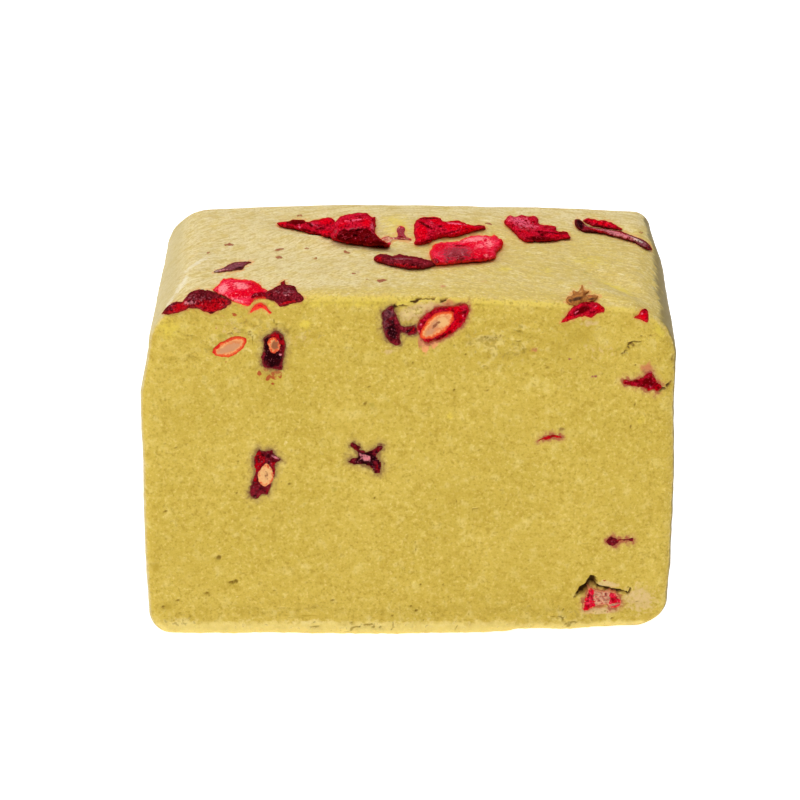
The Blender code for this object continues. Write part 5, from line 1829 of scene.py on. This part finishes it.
def drawn_streaks(tree, place):
    """Noise patterns drawn out along a line that turns across the block."""
    across = add(tree, "SeparateXYZ", {0: place})["X"]
    ends = {key: x * MM for key, x in zip((1, 2), STREAK_ENDS)}
    turns = {key: math.radians(turn) for key, turn in zip((3, 4), STREAK_TURNS)}
    turn = add(tree, "MapRange", {"Value": across, **ends, **turns})["Result"]
    about = {"Vector": place, "Angle": turn}
    turned_place = add(tree, "VectorRotate", about, rotation_type="Z_AXIS")[0]
    drawn = add(tree, "VectorMath", {0: turned_place, 1: STREAK_LONG}, operation="MULTIPLY")[0]
    streak = {}
    for key, size in STREAK_SIZES.items():
        inputs = {"Vector": drawn, "Scale": 1.0 / (size * MM), **NOISE_LOOK}
        streak[key] = add(tree, "TexNoise", inputs)["Fac"]
    return streak


def soft_bar_dough():
    """Soft protein-bar dough of ground nut and powder, pressed in a tray and cut with a knife.

    The eye sees a dense yellow-green body with paler and deeper grains a few tenths of a
    millimetre wide, a paler dry film on the pressed skin, and juice stains round the fruit.
    Shade is painted into its cracks, pits and the gaps between crumbs and onto its flanks, and
    highlights along the front's top edge and on the top.
    """
    sizes = {"fine": 0.16, "grain": 0.32, "speck": 0.55, "patch": 1.1, "film": 2.2, "slow": 5.0}
    made, tree, place, grain = new_material("soft_bar_dough", sizes)
    streak = drawn_streaks(tree, place)
    skin, flank_shade, arris = (
        add(tree, "Attribute", attribute_name=key)["Fac"] for key in ("skin", "flank_shade", "arris")
    )
    thin, faint = (
        add(tree, "Math", {0: skin, 1: share}, operation="MULTIPLY")[0] for share in (0.75, 0.42)
    )
    layers = [
        (grain["slow"], 0.35, 0.65, 0.8, "C6AA40"),
        (grain["patch"], 0.50, 0.30, 0.65, "C0A238"),
        (grain["patch"], 0.55, 0.72, 0.55, "DCC46A"),
        (grain["speck"], 0.48, 0.30, 0.35, "BC9E38"),
        (grain["speck"], 0.56, 0.72, 0.35, "DCC672"),
        # A painted highlight along the front's top edge.
        (arris, 0.0, 1.0, 0.7, "E8CE64"),
        (grain["grain"], 0.48, 0.28, 0.45, "AC8E2A"),
        (grain["grain"], 0.54, 0.74, 0.40, "E6CE72"),
        (grain["fine"], 0.46, 0.28, 0.38, "A08220"),
        (grain["fine"], 0.56, 0.76, 0.42, "EAD47C"),
        (grain["speck"], 0.69, 0.78, 0.60, "B49A34"),
        # Lighter foot: partly paler drawn dough, partly painted light from the floor.
        (strewn(tree, "foot", grain["speck"], 0.30), 0.30, 0.9, 0.70, "ECD680"),
        (strewn(tree, "skin", grain["grain"], 0.25), 0.25, 1.0, 0.75, "DAC064"),
        (strewn(tree, "film", grain["speck"], 0.30), 0.25, 1.1, 0.9, "E0CE9C"),
        (grain["film"], 0.50, 0.28, faint, "CDB25C"),
        (grain["patch"], 0.50, 0.30, faint, "CFB25A"),
        (streak["broad"], 0.50, 0.30, faint, "CDB67A"),
        (streak["fine"], 0.52, 0.30, thin, "C4A85E"),
        (streak["fine"], 0.54, 0.76, thin, "EADAA4"),
        (grain["fine"], 0.50, 0.28, thin, "BEA258"),
        (grain["fine"], 0.56, 0.76, thin, "EADAA4"),
        # Painted shade on the flanks.
        (flank_shade, 0.0, 1.0, 0.6, "BEAC76"),
        (strewn(tree, "shade", grain["speck"], 0.30), 0.30, 0.90, 0.85, "7E6C38"),
    ]
    for which, broken, share, tone in MARK_TONES:
        mark = strewn(tree, which, grain["grain"], broken)
        layers.append((mark, broken, broken + MARK_RANGE, share, tone))
    layers += [
        (strewn(tree, "torn", grain["speck"], 0.6), 0.62, 1.20, 0.55, "E2CC7C"),
        (strewn(tree, "torn", grain["grain"], 0.8), 0.90, 1.30, 0.60, "9E821E"),
        # Painted shade in the gaps between the crumbs.
        (strewn(tree, "crease", grain["fine"], 0.15), 0.20, 0.55, 0.75, "927614"),
        # Painted shade in the pits.
        (strewn(tree, "pit", grain["fine"], 0.15), 0.20, 0.90, 0.90, "866400"),
    ]
    for which, near, far, share, tone in STAINS:
        layers.append((strewn(tree, which, grain["grain"], 0.16), far, near, share, tone))
    # Painted shade in the cracks and the hollow, darkest where they are deepest.
    deep = strewn(tree, "deep", grain["fine"], 0.15)
    layers += [(deep, 0.15, 0.50, 0.8, "94702A"), (deep, 0.50, 0.9, 0.95, "5A3A0C")]
    rough = add(tree, "MapRange", {"Value": skin, 1: 0.0, 2: 1.0, 3: 0.75, 4: 0.25})["Result"]
    constants = {
        "Roughness": 0.58, "Specular IOR Level": 0.22, "Subsurface Weight": 0.15,
        "Subsurface Radius": (1.0, 0.7, 0.25), "Subsurface Scale": 0.6 * MM,
    }
    bumps = ((grain["fine"], rough, 0.05), (grain["grain"], rough, 0.09))
    finish_surface(tree, "CEB24A", layers, constants, bumps)
    return made


@dataclass(frozen=True)
class FleshLook:
    """Colours of a kind of dried fruit: its body's three tones, those of its patches, and the painted
    glint of its crests; the deeper tone also paints the shade between its ridges.
    """

    body: str
    lighter: str
    deeper: str
    bright: str
    pale: str
    dust: str
    crust: str
    dark: str
    glint: str
    edge: str
    smear: str
    glow: float = 0.0


def dried_flesh(name, look):
    """Freeze-dried strawberry taken up by the dough, wrinkled and a little moist.

    The eye sees a body colour with painted glints on its ridges and painted shade between them,
    saturated where juice has set, near black where the skin is thick, dusty where it has dried
    out, translucent pink where it is thin, and further painted glints strewn over it.
    """
    made, tree, _, grain = new_material(name, {"fine": 0.12, "grain": 0.24, "patch": 0.6})
    crest = strewn(tree, "crest", grain["fine"], 0.6)
    layers = [
        (grain["patch"], 0.40, 0.62, 0.8, look.lighter),
        (strewn(tree, "bright", grain["grain"], 0.40), 0.20, 0.65, 1.0, look.bright),
        (strewn(tree, "dust", grain["grain"], 0.50), 0.45, 0.95, 0.95, look.dust),
        (strewn(tree, "crust", grain["grain"], 0.40), 0.40, 0.85, 0.95, look.crust),
        (strewn(tree, "dark", grain["grain"], 0.35), 0.30, 0.75, 1.0, look.dark),
        (strewn(tree, "pale", grain["grain"], 0.40), 0.35, 0.85, 0.95, look.pale),
        # Painted shade between the ridges.
        (crest, 0.15, -0.75, 0.60, look.deeper),
        (grain["grain"], 0.48, 0.30, 0.55, look.deeper),
        (grain["fine"], 0.50, 0.32, 0.60, look.deeper),
        # Painted glints, strewn and on the crests.
        (grain["fine"], 0.58, 0.74, 0.40, look.glint),
        (crest, 0.85, 1.40, 0.65, look.glint),
        # The edge colour is partly the dough's juice and partly a painted glow of the thin rim.
        (strewn(tree, "edge", grain["fine"], 0.35), 0.25, 1.0, 0.75, look.edge),
        (strewn(tree, "smear", grain["grain"], 0.45), 0.48, 1.00, 0.75, look.smear),
    ]
    constants = {
        "Roughness": 0.45, "Specular IOR Level": 0.0, "Subsurface Weight": look.glow,
        "Subsurface Radius": (1.0, 0.12, 0.10), "Subsurface Scale": 0.5 * MM,
    }
    finish_surface(tree, look.body, layers, constants, [(grain["fine"], 0.6, 0.05)])
    return made


def dried_chip():
    """Chips of dried strawberry skin coated in dough: dull wine red with a soft uneven edge."""
    made, tree, _, grain = new_material("dried_strawberry_chip", {"fine": 0.13})
    layers = [
        (grain["fine"], 0.50, 0.34, 0.7, "7C3C26"),
        (strewn(tree, "rim", grain["fine"], 0.07), 0.14, 0.0, 0.9, "C0985A"),
    ]
    finish_surface(tree, "9C5440", layers, {"Roughness": 0.6, "Specular IOR Level": 0.1})
    return made


# Patches of the seeds: share and colour.
SEED_PATCHES = (
    ("crust", 0.9, "CC9066"), ("pale", 0.9, "E8B474"), ("dark", 0.9, "8A4A2C"),
    ("bright", 1.0, "D42010"),
)


def cut_seed():
    """A strawberry seed cut through: a red-orange skin, a peach shell and a tan kernel."""
    made, tree, _, grain = new_material("cut_strawberry_seed", {"fine": 0.14})
    inward = strewn(tree, "rim", grain["fine"], 0.07)
    layers = [
        (inward, 0.08, 0.18, 1.0, "E85C28"),
        (inward, 0.18, 0.28, 1.0, "ECA668"),
        (inward, 0.28, 0.42, 0.9, "D88450"),
        (grain["fine"], 0.50, 0.32, 0.5, "C8683C"),
    ]
    for which, share, tone in SEED_PATCHES:
        layers.append((strewn(tree, which, grain["fine"], 0.3), 0.30, 0.80, share, tone))
    constants = {"Roughness": 0.45, "Specular IOR Level": 0.1}
    finish_surface(tree, "D42E14", layers, constants, [(grain["fine"], 0.5, 0.04)])
    return made


def dry_calyx():
    """A scrap of dried strawberry calyx: brown papery leaf, lighter along its fibres through painted
    shade between them.
    """
    made, tree, _, grain = new_material("dried_strawberry_calyx", {"fine": 0.13, "grain": 0.30})
    layers = [
        (grain["grain"], 0.40, 0.62, 0.8, "C48038"),
        (strewn(tree, "dark", grain["grain"], 0.25), 0.25, 0.75, 0.9, "3C1606"),
        (strewn(tree, "bright", grain["grain"], 0.25), 0.25, 0.75, 0.9, "A83A18"),
        (strewn(tree, "pale", grain["grain"], 0.25), 0.25, 0.75, 0.9, "C89858"),
        # Painted shade between its fibres.
        (strewn(tree, "crest", grain["fine"], 0.6), 0.10, -0.75, 0.80, "45240C"),
    ]
    constants = {"Roughness": 0.7, "Specular IOR Level": 0.2}
    finish_surface(tree, "9C5C20", layers, constants, [(grain["fine"], 0.6, 0.05)])
    return made


PAPER_GLOW = 0.9


def white_paper():
    """Matt pale background paper that glows evenly, so that no shadow stays on it."""
    made, tree, _, grain = new_material("white_paper", {"pulp": 3.0})
    glow = {"Emission Color": linear("FFFFFF"), "Emission Strength": PAPER_GLOW}
    layers = [(grain["pulp"], 0.3, 0.7, 1.0, "D2D2D2")]
    finish_surface(tree, "CCCCCC", layers, {"Roughness": 0.9, **glow})
    return made


def make_finishes():
    """Every finish by its name. Red is plain flesh, dark is skin, pink is thin flesh."""
    red = FleshLook(
        body="BC0820", lighter="DC1838", deeper="5C0006", bright="E00018", pale="F0607C",
        dust="A04850", crust="D89A88", dark="620204", glint="F04C64", edge="A8241A",
        smear="985434", glow=0.05,
    )
    dark = FleshLook(
        body="70121C", lighter="962230", deeper="3A060C", bright="BC0816", pale="DC8088",
        dust="844850", crust="EED8CC", dark="1E0408", glint="C86470", edge="702420",
        smear="763E30",
    )
    pink = FleshLook(
        body="E80C30", lighter="F83C58", deeper="B40824", bright="E40020", pale="FF888E",
        dust="8A3840", crust="E0B890", dark="70020C", glint="FF8A96", edge="EC4424",
        smear="D09A68", glow=0.10,
    )
    return {
        "dough": soft_bar_dough(),
        "red_fruit": dried_flesh("dried_red_strawberry", red),
        "dark_fruit": dried_flesh("dried_dark_strawberry_skin", dark),
        "pink_fruit": dried_flesh("dried_thin_strawberry", pink),
        "fruit_chip": dried_chip(),
        "fruit_seed": cut_seed(),
        "dry_calyx": dry_calyx(),
        "paper": white_paper(),
    }


# The stage.

TABLE_SIZE = 900.0


def build_table(finish):
    """A wide flat sheet of paper under the block."""
    half = TABLE_SIZE / 2
    corners = [(-half, -half, 0.0), (half, -half, 0.0), (half, half, 0.0), (-half, half, 0.0)]
    mesh = bpy.data.meshes.new("paper")
    mesh.from_pydata((np.array(corners) * MM).tolist(), [], [[0, 1, 2, 3]])
    mesh.materials.append(finish)
    paper = bpy.data.objects.new("paper", mesh)
    bpy.context.scene.collection.objects.link(paper)


LOOK_AT = (-0.6, FACE, 17.14)  # the point of the block at the middle of the picture
CAMERA_AWAY = 224.6
LENS = 153.0
CLIP_START = 0.01


def build_camera():
    """The camera of the photograph, looking down on the front at its angle."""
    data = bpy.data.cameras.new("camera")
    data.lens = LENS
    data.clip_start = CLIP_START
    camera = bpy.data.objects.new("camera", data)
    back = np.array([0.0, -math.cos(LOOK_DOWN), math.sin(LOOK_DOWN)])
    camera.location = ((np.array(LOOK_AT) + CAMERA_AWAY * back) * MM).tolist()
    camera.rotation_euler = (math.pi / 2 - LOOK_DOWN, 0.0, 0.0)
    bpy.context.scene.collection.objects.link(camera)
    bpy.context.scene.camera = camera


# Soft boxes: place, breadth and depth, and watts.
LIGHTS = {
    "left_box": ((-260.0, 20.0, 240.0), (200.0, 200.0), 0.38),
    "top_box": ((20.0, 60.0, 340.0), (260.0, 220.0), 0.46),
    "front_box": ((-60.0, -260.0, 300.0), (200.0, 140.0), 0.53),
}
LIGHTS_FACE = (0.0, 0.0, 12.0)
ROOM_LIGHT = 0.28


def build_light():
    """Plain soft studio light: boxes at the left, above and in front, in a white room."""
    for name, (at, size, watts) in LIGHTS.items():
        data = bpy.data.lights.new(name, "AREA")
        data.shape = "RECTANGLE"
        data.size, data.size_y = size[0] * MM, size[1] * MM
        data.energy = watts
        lamp = bpy.data.objects.new(name, data)
        lamp.location = (np.array(at) * MM).tolist()
        away = np.array(at) - np.array(LIGHTS_FACE)
        tilt = math.atan2(math.hypot(away[0], away[1]), away[2])
        lamp.rotation_euler = (tilt, 0.0, math.atan2(away[1], away[0]) + math.pi / 2)
        bpy.context.scene.collection.objects.link(lamp)
    world = bpy.data.worlds.new("white_room")
    world.use_nodes = True
    world.node_tree.nodes["Background"].inputs["Color"].default_value = linear("FFFFFF")
    world.node_tree.nodes["Background"].inputs["Strength"].default_value = ROOM_LIGHT
    scene = bpy.context.scene
    scene.world = world
    scene.view_settings.view_transform = "Standard"


# Each group of fruit with the first seed of its noises and its side, -1 for the front.
GROUPS = (
    (100, -1, CUT_FRUIT + HELD_SEEDS),
    (300, 1, BACK_FRUIT),
    (500, -1, TOP_FRUIT),
)
SEED_STEP = 10  # from one piece to the next


def main():
    finishes = make_finishes()
    build_dough(finishes["dough"])
    for first_seed, side, pieces in GROUPS:
        for number, piece in enumerate(pieces):
            build_pad(piece, side, finishes, first_seed + SEED_STEP * number)
    build_chips(finishes["fruit_chip"])
    build_table(finishes["paper"])
    build_camera()
    build_light()


main()
